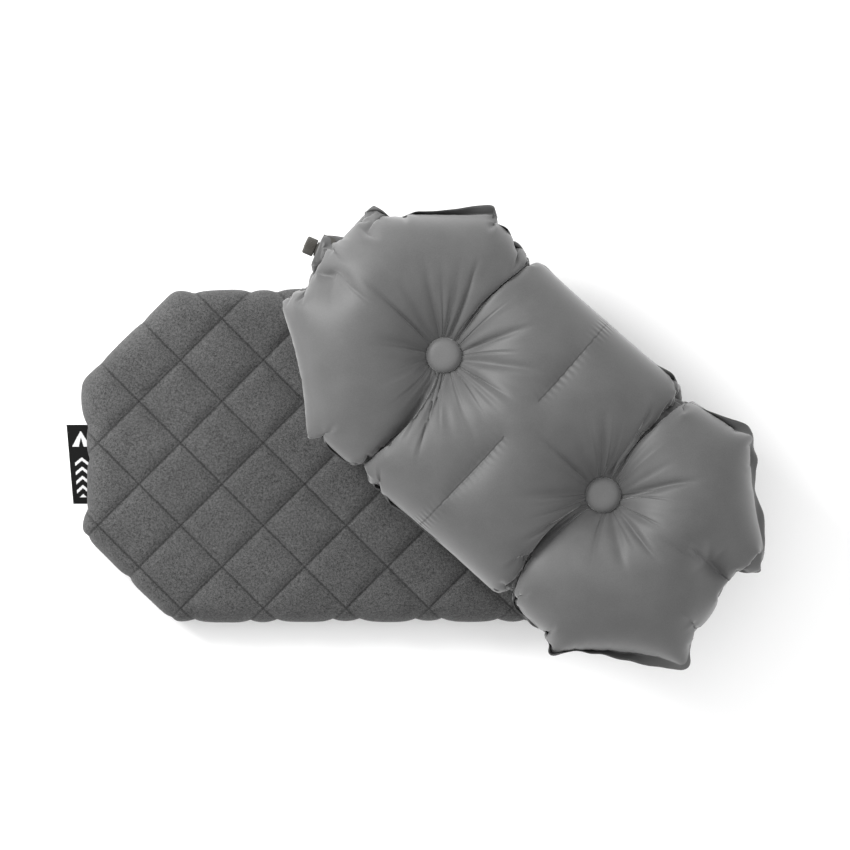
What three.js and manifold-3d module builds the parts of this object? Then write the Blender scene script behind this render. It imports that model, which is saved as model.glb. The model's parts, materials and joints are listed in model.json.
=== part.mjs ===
// A two-piece camp pillow: an inflatable bladder with two button tufts and a twist valve,
// lying turned on top of its own removable quilted cover. Millimetres, +Z up.
// The origin is at the middle of the whole set's footprint, on the surface it lies on.
import * as THREE from 'three';
import { mergeVertices } from 'three/addons/utils/BufferGeometryUtils.js';
import Module from 'manifold-3d';

const wasm = await Module();
wasm.setup();

// Driving dimensions: the cover.
const coverLength = 600;
const coverWidth = 346;
const coverCornerAlong = 94;
const coverCornerAcross = 92;
const coverCentre = new THREE.Vector2(-53, -27);
const panelThickness = 24;
const panelEdgeRound = 21;
const pocketGap = 8;
const faceFabric = 1;
const liningFabric = 0.8;
const seamWidth = 10;
const hemWidth = 14;
const hemThickness = 1.2;
const labelWidth = 83;
const labelReach = 18;
const labelThickness = 1.2;
const labelOffset = -9;
const labelRootGap = 0.8;

// Driving dimensions: the bladder.
const bladderLength = 538;
const bladderWidth = 296;
const bladderCornerAlong = 106;
const bladderCornerAcross = 84;
const bladderThickness = 125;
const bladderSideRound = 72;
const bladderEdge = 1;
const bladderCentre = new THREE.Vector2(107, 5);
const bladderTurn = THREE.MathUtils.degToRad(-41.3);
const sheetThickness = 1;
const flangeWidth = 11;
const tuftSpacing = 218;
const tuftSeatHeight = 44;
const dimpleRadius = 82;
const dimpleRim = 3;
const buttonRoom = 2;
const tuftValleyRadius = 46;
const tuftValleyDepth = 20;
const middleValleyRadius = 120;
const middleValleyDepth = 12;
const baffleThickness = 0.8;
const baffleInnerEnd = 26;
const baffleOuterEnd = 116;

// Driving dimensions: the buttons and their ties.
const buttonRadius = 18.5;
const buttonHeight = 8;
const buttonFabric = 0.9;
const buttonTurnUnder = 6;
const buttonFullness = 0.6;
const buttonRimRound = 1;
const tieWidth = 14;
const tieThickness = 1.2;
const tiePatchRadius = 15;
const tieWeldDepth = 0.5;

// Driving dimensions: the twist valve, measured along its own axis from the weld's outer edge.
const valveLean = THREE.MathUtils.degToRad(18.6);
const valveOffset = -4;
const boatStart = -15;
const boatEnd = -1;
const boatHalfWidth = 17;
const boatHalfHeight = 6.5;
const stemStart = -28;
const stemEnd = 9.8;
const stemRadius = 5;
const stemBore = 3.5;
const stopRingThickness = 0.8;
const stopRingGroove = 0.8;
const collarRadius = 7.6;
const collarStart = -1.5;
const collarEnd = 1.2;
const knobStart = 1.8;
const knobEnd = 13.3;
const knobRadius = 9.2;
const knobRibs = 24;
const knobRibHeight = 0.7;
const knobEndWall = 2.2;
const knobLipLength = 2;
const knobBore = stemRadius + 1.4;
const knobEntryRound = 0.8;
const knobEndRound = 1.4;
const knobEasing = 0.2;
const valveTravel = 4;
const plungerRadius = 2.2;
const headRadius = 2.7;
const neckRadius = 1.4;
const snapHeadRadius = 2.3;
const finWidth = 1.2;
const finReach = 4.1;
const finStart = -6;
const finSetBack = 5;
const snapHeadRound = 0.6;
const snapHeadHeight = 1;
const oRingSection = 0.7;
const oRingSetBack = 1.6;
const oRingRoom = 0.15;
const airHoleRadius = 1;
const airHoleCount = 4;
const airHoleShift = 0.3;

// Clearance between neighbouring pieces.
const gap = 0.3;
const roundSteps = 28;
const far = 1000;

const coverThickness = 2 * panelThickness + pocketGap;

// Materials.
const melange = new THREE.MeshStandardMaterial({ color: 0x616163, roughness: 0.95, metalness: 0 });
const batting = new THREE.MeshStandardMaterial({ color: 0xe8e8e4, roughness: 1, metalness: 0 });
const liningCloth = new THREE.MeshStandardMaterial({ color: 0x505154, roughness: 0.9, metalness: 0 });
const labelCloth = new THREE.MeshStandardMaterial({ color: 0x141414, roughness: 0.8, metalness: 0 });
const bladderCloth = new THREE.MeshStandardMaterial({ color: 0x7c7c7e, roughness: 0.6, metalness: 0 });
const webbing = new THREE.MeshStandardMaterial({ color: 0x3c3c3e, roughness: 0.9, metalness: 0 });
const valvePlastic = new THREE.MeshStandardMaterial({ color: 0x504e49, roughness: 0.55, metalness: 0 });
const corePlastic = new THREE.MeshStandardMaterial({ color: 0xd8d8d4, roughness: 0.6, metalness: 0 });
const sealRubber = new THREE.MeshStandardMaterial({ color: 0x111111, roughness: 0.7, metalness: 0 });

// Turns a closed three.js geometry into a solid that can be cut and joined.
function solid(geometry) {
  const bare = geometry.clone();
  bare.deleteAttribute('normal');
  bare.deleteAttribute('uv');
  const merged = mergeVertices(bare, 1e-4);
  const vertProperties = new Float32Array(merged.attributes.position.array);
  const triVerts = new Uint32Array(merged.index.array);
  return new wasm.Manifold(new wasm.Mesh({ numProp: 3, vertProperties, triVerts }));
}

function geometryOf(manifold) {
  const mesh = manifold.getMesh();
  const geometry = new THREE.BufferGeometry();
  geometry.setAttribute('position', new THREE.BufferAttribute(mesh.vertProperties, 3));
  geometry.setIndex(new THREE.BufferAttribute(mesh.triVerts, 1));
  geometry.computeVertexNormals();
  return geometry;
}

function piece(name, geometry, material) {
  const mesh = new THREE.Mesh(geometry, material);
  mesh.name = name;
  return mesh;
}

// A box between two corners.
function block(x0, x1, y0, y1, z0, z1) {
  const box = new THREE.BoxGeometry(x1 - x0, y1 - y0, z1 - z0);
  box.translate((x0 + x1) / 2, (y0 + y1) / 2, (z0 + z1) / 2);
  return solid(box);
}

// A long octagon: a rectangle with its four corners cut, moved inwards by inset.
function octagon(length, width, along, across, inset) {
  const endX = length / 2 - inset;
  const sideY = width / 2 - inset;
  const slope = Math.hypot(along, across);
  const cutDistance = (across * length / 2 + along * (width / 2 - across)) / slope - inset;
  const endY = (cutDistance * slope - across * endX) / along;
  const sideX = (cutDistance * slope - along * sideY) / across;
  return new THREE.Shape([
    new THREE.Vector2(endX, -endY),
    new THREE.Vector2(endX, endY),
    new THREE.Vector2(sideX, sideY),
    new THREE.Vector2(-sideX, sideY),
    new THREE.Vector2(-endX, endY),
    new THREE.Vector2(-endX, -endY),
    new THREE.Vector2(-sideX, -sideY),
    new THREE.Vector2(sideX, -sideY),
  ]);
}

// A flat plate of the shape between two heights.
function plate(shape, z0, z1) {
  const geometry = new THREE.ExtrudeGeometry(shape, { depth: z1 - z0, bevelEnabled: false });
  geometry.translate(0, 0, z0);
  return solid(geometry);
}

// A slab of the shape whose edges are rounded over, as a quarter ellipse, above and below.
function roundedSlab(shape, thickness, roundHeight, roundWidth, steps) {
  const geometry = new THREE.ExtrudeGeometry(shape, {
    depth: thickness - 2 * roundHeight,
    bevelEnabled: true,
    bevelThickness: roundHeight,
    bevelSize: roundWidth,
    bevelOffset: -roundWidth,
    bevelSegments: steps,
  });
  geometry.translate(0, 0, roundHeight - thickness / 2);
  return solid(geometry);
}

// A turned piece from its outline of (radius, height), with its axis along Z.
function turned(outline) {
  const points = outline.map(([radius, height]) => new THREE.Vector2(radius, height));
  const geometry = new THREE.LatheGeometry(points, roundSteps);
  geometry.rotateX(Math.PI / 2);
  return geometry;
}

// The same with its axis along X, for the valve.
function turnedAlongX(outline) {
  const geometry = turned(outline);
  geometry.rotateY(Math.PI / 2);
  return geometry;
}

function rod(radius, x0, x1) {
  return solid(turnedAlongX([[0, x0], [radius, x0], [radius, x1], [0, x1]]));
}

// ---- The quilted cover -------------------------------------------------------------------

function coverOctagon(inset) {
  return octagon(coverLength, coverWidth, coverCornerAlong, coverCornerAcross, inset);
}

// The cover's puffed outer form, moved inwards by inset.
function coverForm(inset) {
  const round = panelEdgeRound - inset;
  return roundedSlab(coverOctagon(inset), coverThickness - 2 * inset, round, round, panelSteps);
}

const middle = coverThickness / 2;
const pocketHalf = pocketGap / 2;
const panelSteps = 5;

// One quilted panel: face fabric outside, loft in the middle, lining towards the pocket.
function panelPieces(side) {
  const above = block(-far, far, -far, far, pocketHalf, far);
  const liningTop = pocketHalf + liningFabric;
  const face = coverForm(0).subtract(coverForm(faceFabric)).intersect(above);
  const loftSpace = block(-far, far, -far, far, liningTop + gap, far);
  const loft = coverForm(faceFabric + gap).intersect(loftSpace);
  const lining = plate(coverOctagon(faceFabric + gap), pocketHalf, liningTop);
  const parts = [['face', face, melange], ['batting', loft, batting], ['lining', lining, liningCloth]];
  return parts.map(([name, shape, material]) => {
    const mesh = piece(`cover_${side}_${name}`, geometryOf(shape), material);
    mesh.rotation.x = side === 'back' ? Math.PI : 0;
    mesh.position.z = middle;
    return mesh;
  });
}

const mouthStart = coverLength / 2 - coverCornerAlong;

// The joined seam allowances around the closed sides, open where the mouth is.
function sideSeam() {
  const low = -pocketHalf + gap;
  const high = pocketHalf - gap;
  const opening = plate(coverOctagon(seamWidth), low - 1, high + 1);
  const ring = plate(coverOctagon(0), low, high).subtract(opening);
  const closedSides = block(-far, mouthStart - gap, -far, far, -far, far);
  const mesh = piece('cover_side_seam', geometryOf(ring.intersect(closedSides)), liningCloth);
  mesh.position.z = middle;
  return mesh;
}

// The folded hem along one lip of the mouth.
function mouthHem(side) {
  const high = pocketHalf - gap;
  const low = high - hemThickness;
  const opening = plate(coverOctagon(hemWidth), low - 1, high + 1);
  const ring = plate(coverOctagon(0), low, high).subtract(opening);
  const mouth = block(mouthStart, far, -far, far, -far, far);
  const mesh = piece(`mouth_hem_${side}`, geometryOf(ring.intersect(mouth)), melange);
  mesh.rotation.x = side === 'back' ? Math.PI : 0;
  mesh.position.z = middle;
  return mesh;
}

// The woven label, sewn by one edge into the seam of the closed end.
function sideLabel() {
  const root = -coverLength / 2 - labelRootGap;
  const shape = block(root - labelReach, root, -labelWidth / 2, labelWidth / 2,
    -labelThickness / 2, labelThickness / 2);
  const mesh = piece('side_label', geometryOf(shape), labelCloth);
  mesh.position.set(0, labelOffset, middle);
  return mesh;
}

const cover = new THREE.Group();
cover.position.set(coverCentre.x, coverCentre.y, 0);
cover.add(...panelPieces('front'), ...panelPieces('back'));
cover.add(sideSeam(), mouthHem('front'), mouthHem('back'), sideLabel());

// ---- The inflatable bladder --------------------------------------------------------------

const half = bladderThickness / 2;
const formSteps = 7;
const aboveForm = 20;
const tuftPlaces = { valve_end: -tuftSpacing / 2, far_end: tuftSpacing / 2 };

function bladderOctagon(inset) {
  return octagon(bladderLength, bladderWidth, bladderCornerAlong, bladderCornerAcross, inset);
}

// The trumpet-shaped dip that a tuft pulls into the upper side, grown outwards by inset.
function tuftDip(inset) {
  const seat = tuftSeatHeight / 2 - inset;
  const inner = buttonRadius + buttonRoom + inset;
  const outer = dimpleRadius + inset;
  const rise = half + dimpleRim - tuftSeatHeight / 2;
  const outline = [[0, seat]];
  for (let i = 0; i <= formSteps; i += 1) {
    const u = i / formSteps;
    const radius = inner + (outer - inner) * u;
    outline.push([radius, seat + rise * Math.sqrt(1 - (1 - u) ** 2)]);
  }
  outline.push([outer, half + aboveForm], [0, half + aboveForm]);
  return turned(outline);
}

// A round-bottomed valley across the upper side.
function valley(x, radius, depth, inset) {
  const geometry = new THREE.CylinderGeometry(radius + inset, radius + inset, 2 * bladderWidth, roundSteps);
  geometry.translate(x, 0, half + radius - depth);
  return solid(geometry);
}

// Everything that dips into the upper side.
function upperDips(inset) {
  let dips = valley(0, middleValleyRadius, middleValleyDepth, inset);
  for (const x of Object.values(tuftPlaces)) {
    dips = dips.add(valley(x, tuftValleyRadius, tuftValleyDepth, inset));
    dips = dips.add(solid(tuftDip(inset).translate(x, 0, 0)));
  }
  return dips;
}

// The inflated form with its dips on both sides, moved inwards by inset.
function bladderForm(inset) {
  const thickness = bladderThickness - 2 * inset;
  const round = half - inset - bladderEdge;
  const body = roundedSlab(bladderOctagon(inset), thickness, round, bladderSideRound - inset, formSteps);
  const dips = upperDips(inset);
  return body.subtract(dips).subtract(dips.mirror([0, 0, 1]));
}

// The valve's own frame: +X points out of the bladder's end along the valve's axis.
const valveFrame = new THREE.Group();
valveFrame.position.set(-bladderLength / 2 - flangeWidth, valveOffset, 0);
valveFrame.rotation.z = Math.PI + valveLean;
valveFrame.updateMatrix();

// The lens-shaped block that the sheets are welded around, grown by grow.
function boat(grow) {
  const width = boatHalfWidth + grow * 2;
  const height = boatHalfHeight + grow;
  const shape = new THREE.Shape();
  shape.moveTo(-width, 0);
  shape.quadraticCurveTo(0, -2 * height, width, 0);
  shape.quadraticCurveTo(0, 2 * height, -width, 0);
  const geometry = new THREE.ExtrudeGeometry(shape, {
    depth: boatEnd - boatStart + 2 * grow,
    bevelEnabled: false,
    curveSegments: 8,
  });
  const turn = new THREE.Matrix4().makeBasis(
    new THREE.Vector3(0, 1, 0), new THREE.Vector3(0, 0, 1), new THREE.Vector3(1, 0, 0));
  geometry.applyMatrix4(turn);
  geometry.translate(boatStart - grow, 0, 0);
  return geometry;
}

// One sheet: the inflated skin, its flat weld margin, and the half sleeve around the valve's boat.
// It is shaped as the upper sheet, and the lower one is the same turned over.
function sheet(name, isLower) {
  const low = gap / 2;
  const above = block(-far, far, -far, far, low, far);
  const skin = bladderForm(0).subtract(bladderForm(sheetThickness)).intersect(above);
  const margin = plate(bladderOctagon(-flangeWidth), low, low + sheetThickness)
    .subtract(plate(bladderOctagon(sheetThickness), low - 1, low + sheetThickness + 1));
  const sleeve = solid(boat(gap + sheetThickness).applyMatrix4(valveFrame.matrix)).intersect(above);
  const boatSpace = solid(boat(gap).applyMatrix4(valveFrame.matrix));
  const fitting = rod(stemRadius + gap, stemStart - gap, 0)
    .add(rod(collarRadius + gap, collarStart - gap, far))
    .add(rod(knobRadius + 2 * gap, knobStart - 2 * gap, far));
  const fittingSpace = solid(geometryOf(fitting).applyMatrix4(valveFrame.matrix));
  const upper = skin.add(margin).add(sleeve);
  const shape = isLower ? upper.mirror([0, 0, 1]) : upper;
  return piece(name, geometryOf(shape.subtract(boatSpace).subtract(fittingSpace)), bladderCloth);
}

// A strip of fabric joining the two sheets inside, from near the middle to the weld.
function baffle(name, sign) {
  const y0 = Math.min(sign * baffleInnerEnd, sign * baffleOuterEnd);
  const y1 = Math.max(sign * baffleInnerEnd, sign * baffleOuterEnd);
  const strip = block(-baffleThickness / 2, baffleThickness / 2, y0, y1, -far, far);
  return piece(name, geometryOf(bladderForm(sheetThickness + gap).intersect(strip)), webbing);
}

// The strap that holds the two sheets together at a tuft, with a round weld patch at each end.
function tie(name, x) {
  const top = tuftSeatHeight / 2 - sheetThickness - gap;
  const under = top - tieThickness;
  const patchAbove = solid(turned([[0, under], [tiePatchRadius, under], [tiePatchRadius, top], [0, top]]));
  const strapEnd = top - tieWeldDepth;
  const strap = block(-tieThickness / 2, tieThickness / 2, -tieWidth / 2, tieWidth / 2,
    -strapEnd, strapEnd);
  const shape = patchAbove.add(patchAbove.mirror([0, 0, 1])).add(strap);
  const mesh = piece(name, geometryOf(shape), webbing);
  mesh.position.x = x;
  return mesh;
}

const domeSteps = 4;

// The rounded upper outline of a button, from its rim to its crown.
function buttonDome(radius, base, top) {
  const points = [];
  for (let i = 0; i <= domeSteps; i += 1) {
    const angle = (i / domeSteps) * Math.PI / 2;
    points.push([radius * Math.cos(angle) ** buttonFullness, base + (top - base) * Math.sin(angle)]);
  }
  points[domeSteps][0] = 0;
  return points;
}

// The moulded disc inside a button.
function buttonCore(side, place, x) {
  const radius = buttonRadius - buttonFabric - gap;
  const base = buttonFabric + 2 * gap;
  const outline = [[0, base], ...buttonDome(radius, base, buttonHeight - buttonFabric - gap)];
  return placedButton(`button_core_${side}_${place}`, turned(outline), corePlastic, side, x);
}

// Its fabric cap, drawn over the disc and turned under its rim.
function buttonCap(side, place, x) {
  const inner = buttonRadius - buttonFabric;
  const turnUnder = buttonRadius - buttonTurnUnder;
  const outside = buttonDome(buttonRadius, buttonFabric, buttonHeight);
  const inside = buttonDome(inner, buttonFabric + gap, buttonHeight - buttonFabric).reverse();
  const rim = [buttonRadius - buttonRimRound, 0];
  const outline = [[turnUnder, 0], rim, ...outside, ...inside, [turnUnder, buttonFabric], [turnUnder, 0]];
  return placedButton(`button_cap_${side}_${place}`, turned(outline), bladderCloth, side, x);
}

function placedButton(name, geometry, material, side, x) {
  geometry.translate(0, 0, tuftSeatHeight / 2 + gap);
  const mesh = piece(name, geometryOf(solid(geometry)), material);
  mesh.rotation.x = side === 'bottom' ? Math.PI : 0;
  mesh.position.x = x;
  return mesh;
}

// ---- The twist valve ---------------------------------------------------------------------

// The moulded base: the boat, the threaded stem and the collar, bored through and keyed inside.
function valveBase() {
  const keyway = block(stemStart - 1, stemEnd + 1, -finReach - gap, finReach + gap,
    -finWidth / 2 - gap, finWidth / 2 + gap);
  const grooveStart = stopRingStart - gap;
  const grooveEnd = stopRingEnd + gap;
  const ringGroove = solid(turnedAlongX([
    [grooveFloor, grooveStart], [far, grooveStart], [far, grooveEnd], [grooveFloor, grooveEnd],
    [grooveFloor, grooveStart]]));
  const shape = solid(boat(0))
    .add(rod(stemRadius, stemStart, stemEnd))
    .add(rod(collarRadius, collarStart, collarEnd))
    .subtract(rod(stemBore, stemStart - 1, stemEnd + 1))
    .subtract(keyway.intersect(rod(stemRadius + 1, stemStart - 1, stemEnd + 1)))
    .subtract(ringGroove);
  return piece('valve_base', geometryOf(shape), valvePlastic);
}

const stopRingStart = knobStart + knobLipLength + valveTravel + gap;
const stopRingEnd = stopRingStart + stopRingThickness;
const grooveFloor = stemRadius - stopRingGroove;

// The split-free ring that stops the knob from coming off the stem.
function stopRing() {
  const inner = grooveFloor + gap;
  const outer = knobBore - gap;
  const outline = [
    [inner, stopRingStart], [outer, stopRingStart], [outer, stopRingEnd], [inner, stopRingEnd],
    [inner, stopRingStart]];
  return piece('valve_stop_ring', turnedAlongX(outline), sealRubber);
}

// The ribbed outline of the knob's grip.
function gripShape() {
  const shape = new THREE.Shape();
  const stepsPerRib = 4;
  const count = knobRibs * stepsPerRib;
  for (let i = 0; i < count; i += 1) {
    const angle = (i / count) * 2 * Math.PI;
    const onRib = i % stepsPerRib < stepsPerRib / 2;
    const radius = onRib ? knobRadius : knobRadius - knobRibHeight;
    const x = radius * Math.cos(angle);
    const y = radius * Math.sin(angle);
    if (i === 0) shape.moveTo(x, y);
    else shape.lineTo(x, y);
  }
  shape.closePath();
  return shape;
}

// The knob: a ribbed cup whose inner lip runs on the stem, with air holes in its end wall.
function valveKnob() {
  const grip = new THREE.ExtrudeGeometry(gripShape(), { depth: knobEnd - knobStart, bevelEnabled: false });
  grip.rotateY(Math.PI / 2);
  grip.translate(knobStart, 0, 0);
  const widest = knobRadius + knobEasing;
  const rounded = solid(turnedAlongX([
    [0, knobStart], [knobRadius - knobEntryRound, knobStart],
    [widest, knobStart + knobEntryRound + knobEasing], [widest, knobEnd - knobEndRound],
    [knobRadius - knobEndRound, knobEnd], [0, knobEnd]]));
  const wallStart = knobEnd - knobEndWall;
  let shape = solid(grip).intersect(rounded)
    .subtract(rod(stemRadius + gap, knobStart - 1, wallStart))
    .subtract(rod(knobBore, knobStart + knobLipLength, wallStart))
    .subtract(rod(neckRadius + gap, wallStart - 1, knobEnd + 1));
  const hole = rod(airHoleRadius, wallStart - 1, knobEnd + 1);
  for (let i = 0; i < airHoleCount; i += 1) {
    const angle = ((i + 0.5) / airHoleCount) * 2 * Math.PI;
    const place = [0, airHoleRing * Math.cos(angle), airHoleRing * Math.sin(angle)];
    shape = shape.subtract(hole.translate(place));
  }
  return piece('valve_knob', geometryOf(shape), valvePlastic);
}

const airHoleRing = (snapHeadRadius + knobBore) / 2 + airHoleShift;
const oRingPlace = stemEnd - oRingSetBack;
const oRingRadius = stemBore - oRingSection - oRingRoom;

// The plunger: a rod that carries the seal, with two fins that keep it from turning,
// and a neck and snap head that the knob's end wall turns on.
function valvePlunger() {
  const wallStart = knobEnd - knobEndWall;
  const groove = oRingRadius - oRingSection;
  const grooveStart = oRingPlace - oRingSection - gap;
  const grooveEnd = oRingPlace + oRingSection + gap;
  const finEnd = oRingPlace - finSetBack;
  const body = solid(turnedAlongX([
    [0, finStart], [plungerRadius, finStart], [plungerRadius, finEnd + 1],
    [stemBore - gap, finEnd + 1], [stemBore - gap, grooveStart],
    [groove - gap, grooveStart], [groove - gap, grooveEnd],
    [headRadius, grooveEnd], [headRadius, wallStart - gap],
    [neckRadius, wallStart - gap], [neckRadius, knobEnd + gap],
    [snapHeadRadius, knobEnd + gap], [snapHeadRadius - snapHeadRound, knobEnd + gap + snapHeadHeight],
    [0, knobEnd + gap + snapHeadHeight]]));
  const fins = block(finStart, finEnd, -finReach, finReach, -finWidth / 2, finWidth / 2);
  return piece('valve_plunger', geometryOf(body.add(fins)), corePlastic);
}

// The sealing ring in the plunger's groove.
function valveRing() {
  const ring = new THREE.TorusGeometry(oRingRadius, oRingSection, 8, roundSteps);
  ring.rotateY(Math.PI / 2);
  ring.translate(oRingPlace, 0, 0);
  return piece('valve_o_ring', ring, sealRubber);
}

valveFrame.add(valveBase(), stopRing(), valveKnob(), valvePlunger(), valveRing());

const bladder = new THREE.Group();
bladder.position.set(bladderCentre.x, bladderCentre.y, coverThickness + gap + half);
bladder.rotation.z = bladderTurn;
bladder.add(sheet('bladder_top_sheet', false), sheet('bladder_bottom_sheet', true));
bladder.add(baffle('baffle_right', 1), baffle('baffle_left', -1));
for (const [place, x] of Object.entries(tuftPlaces)) {
  bladder.add(tie(`tuft_tie_${place}`, x));
  for (const side of ['top', 'bottom']) bladder.add(buttonCore(side, place, x), buttonCap(side, place, x));
}
bladder.add(valveFrame);

// The whole set, moved so that the origin is under the middle of its footprint.
const pillow = new THREE.Group();
pillow.add(cover, bladder);
pillow.updateMatrixWorld(true);
const footprint = new THREE.Box3().setFromObject(pillow, true);
pillow.position.set(-(footprint.min.x + footprint.max.x) / 2, -(footprint.min.y + footprint.max.y) / 2,
  -footprint.min.z);

export default pillow;
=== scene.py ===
import json
import math

import bpy
import numpy as np
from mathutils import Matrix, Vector
from mathutils.geometry import delaunay_2d_cdt


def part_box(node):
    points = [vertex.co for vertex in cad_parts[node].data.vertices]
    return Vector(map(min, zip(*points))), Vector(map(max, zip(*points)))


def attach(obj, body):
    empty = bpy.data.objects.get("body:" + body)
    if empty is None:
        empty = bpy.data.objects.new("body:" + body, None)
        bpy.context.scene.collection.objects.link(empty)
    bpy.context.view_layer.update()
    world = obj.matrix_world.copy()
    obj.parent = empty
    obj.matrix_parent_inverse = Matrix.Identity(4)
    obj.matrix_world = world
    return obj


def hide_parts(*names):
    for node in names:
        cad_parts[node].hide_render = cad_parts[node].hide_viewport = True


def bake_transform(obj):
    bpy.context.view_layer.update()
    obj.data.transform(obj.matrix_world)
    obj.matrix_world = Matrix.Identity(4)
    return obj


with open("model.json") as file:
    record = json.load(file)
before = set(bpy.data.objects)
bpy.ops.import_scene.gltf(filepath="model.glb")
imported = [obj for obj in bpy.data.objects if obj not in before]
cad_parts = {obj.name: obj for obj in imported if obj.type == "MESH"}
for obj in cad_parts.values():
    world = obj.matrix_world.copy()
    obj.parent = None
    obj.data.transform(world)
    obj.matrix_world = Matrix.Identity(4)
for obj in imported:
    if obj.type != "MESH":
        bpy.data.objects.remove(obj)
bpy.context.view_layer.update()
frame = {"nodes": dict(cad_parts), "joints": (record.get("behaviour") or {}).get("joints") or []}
MM = 0.001

# Camera
# The set is looked at from straight above, through a long lens, so that upright sides stay out of sight.
CAMERA_HEIGHT = 6.0
SEEN_WIDTH = 0.880
SEEN_HEIGHT_PLANE = 0.10
SENSOR_WIDTH = 36.0
LOOK_AT = (0.0100, 0.0002)

lens = bpy.data.cameras.new("camera")
lens.sensor_width = SENSOR_WIDTH
lens.lens = SENSOR_WIDTH * (CAMERA_HEIGHT - SEEN_HEIGHT_PLANE) / SEEN_WIDTH
camera = bpy.data.objects.new("camera", lens)
camera.location = (*LOOK_AT, CAMERA_HEIGHT)
bpy.context.scene.collection.objects.link(camera)
bpy.context.scene.camera = camera

# Studio
# A white sweep of painted board lies under the set. Its matt emulsion paint mirrors nothing and shows only
# soft shadows. A bright white room lights it all round, and one large soft box stands high on the left, so
# that each hollow shades towards the right.
FLOOR_SIZE = 8.0
ROOM_LIGHT = 1.2
SOFT_BOX_SIZE = 0.7
SOFT_BOX_POWER = 30.0
SOFT_BOX_AT = (-1.05, 0.75, 0.95)


def linear(colour):
    """Linear RGBA from an sRGB hex string such as 'a0b1c2'."""
    parts = [int(colour[k:k + 2], 16) / 255 for k in (0, 2, 4)]
    return (*[c / 12.92 if c <= 0.04045 else ((c + 0.055) / 1.055) ** 2.4 for c in parts], 1.0)


def add_node(material, kind, settings, links):
    """Adds one shader node. settings are its own properties; links gives each input a value or another
    node's output."""
    tree = material.node_tree
    node = tree.nodes.new("ShaderNode" + kind)
    for name, value in settings.items():
        setattr(node, name, value)
    for name, value in links.items():
        if isinstance(value, bpy.types.NodeSocket):
            tree.links.new(value, node.inputs[name])
        else:
            node.inputs[name].default_value = value
    return node


def new_material(name, **surface):
    """A material with one Principled shader, whose inputs are given in plain words."""
    material = bpy.data.materials.new(name)
    material.use_nodes = True
    shader = material.node_tree.nodes["Principled BSDF"]
    for word, value in surface.items():
        shader.inputs[word.replace("_", " ").title().replace("Ior", "IOR")].default_value = value
    return material, shader


def mesh_piece(name, points, faces, material):
    """A smooth-shaded mesh object, its points in millimetres of the row frame."""
    mesh = bpy.data.meshes.new(name)
    mesh.from_pydata((np.asarray(points, float) * MM).tolist(), [], [list(map(int, f)) for f in faces])
    mesh.polygons.foreach_set("use_smooth", [True] * len(mesh.polygons))
    mesh.materials.append(material)
    mesh.update()
    piece = bpy.data.objects.new(name, mesh)
    bpy.context.scene.collection.objects.link(piece)
    return piece


board, board_shader = new_material("matt white painted board", base_color=linear("f7f7f7"), roughness=0.9)
half_floor = FLOOR_SIZE / 2 / MM
floor_corners = [(x * half_floor, y * half_floor, 0) for x, y in ((-1, -1), (1, -1), (1, 1), (-1, 1))]
floor = mesh_piece("floor", floor_corners, [(0, 1, 2, 3)], board)

world = bpy.data.worlds.new("white room")
world.use_nodes = True
world.node_tree.nodes["Background"].inputs["Color"].default_value = (1, 1, 1, 1)
world.node_tree.nodes["Background"].inputs["Strength"].default_value = ROOM_LIGHT
bpy.context.scene.world = world
bpy.context.scene.view_settings.view_transform = "Standard"
soft_box = bpy.data.lights.new("soft_box", "AREA")
soft_box.size = SOFT_BOX_SIZE
soft_box.energy = SOFT_BOX_POWER
soft_box_stand = bpy.data.objects.new("soft_box", soft_box)
soft_box_stand.location = SOFT_BOX_AT
soft_box_stand.rotation_euler = (-Vector(SOFT_BOX_AT)).to_track_quat("-Z", "Y").to_euler()
bpy.context.scene.collection.objects.link(soft_box_stand)

# Quilted panels of the cover
# Each of the cover's two panels is a heathered knit face over white polyester loft, stitched through in
# diamonds. Its edge rolls over to the seam half-way up, and the stitch lines pull the edge in a little.
COVER_CORNER = (94.0, 92.0)
OUTLINE_RADIUS = 18.0
CORNER_POINTS = 9
PANEL_STEP = 2.78
QUILT_SPACING = 61.1
QUILT_CROSSING = np.array([19.3, -29.5])
QUILT_DEPTH = 5.0
QUILT_SHARPNESS = 5.5
QUILT_LINES = 8
RIM_QUILTING = 0.25
EDGE_PULL = 3.6
EDGE_PUFF = 1.4
EDGE_WAVE = 0.5
EDGE_WAVES = ((1.0, 5, 0.7), (0.6, 11, 2.1), (0.5, 23, 4.0))
LABEL_PULL = 6.0
LABEL_PULL_REACH = 50.0
LABEL_PULL_INSIDE, LABEL_PULL_FADE = 60.0, 50.0
ROLL_RADIUS = 25.0
MOUTH_OPEN = 4.0
MOUTH_START, MOUTH_FULL = 128.0, 160.0
FACE_THICKNESS = 1.0

panel_low, panel_high = (np.array(corner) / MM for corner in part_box("cover_front_face"))
back_low, back_high = (np.array(corner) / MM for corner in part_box("cover_back_face"))
cover_centre = ((panel_low + panel_high) / 2)[:2]
cover_half = ((panel_high - panel_low) / 2)[:2]
seam_height = (panel_high[2] + back_low[2]) / 2
label_low, label_high = (np.array(corner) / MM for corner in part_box("side_label"))
label_middle = (label_low[1] + label_high[1]) / 2


def octagon_corners(half, left, right):
    """Corners, anticlockwise, of a rectangle with its corners cut off. left and right are how much is cut
    off along and across the rectangle at its two ends."""
    hx, hy = half
    return [(-hx, left[1] - hy), (left[0] - hx, -hy), (hx - right[0], -hy), (hx, right[1] - hy),
            (hx, hy - right[1]), (hx - right[0], hy), (left[0] - hx, hy), (-hx, hy - left[1])]


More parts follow.
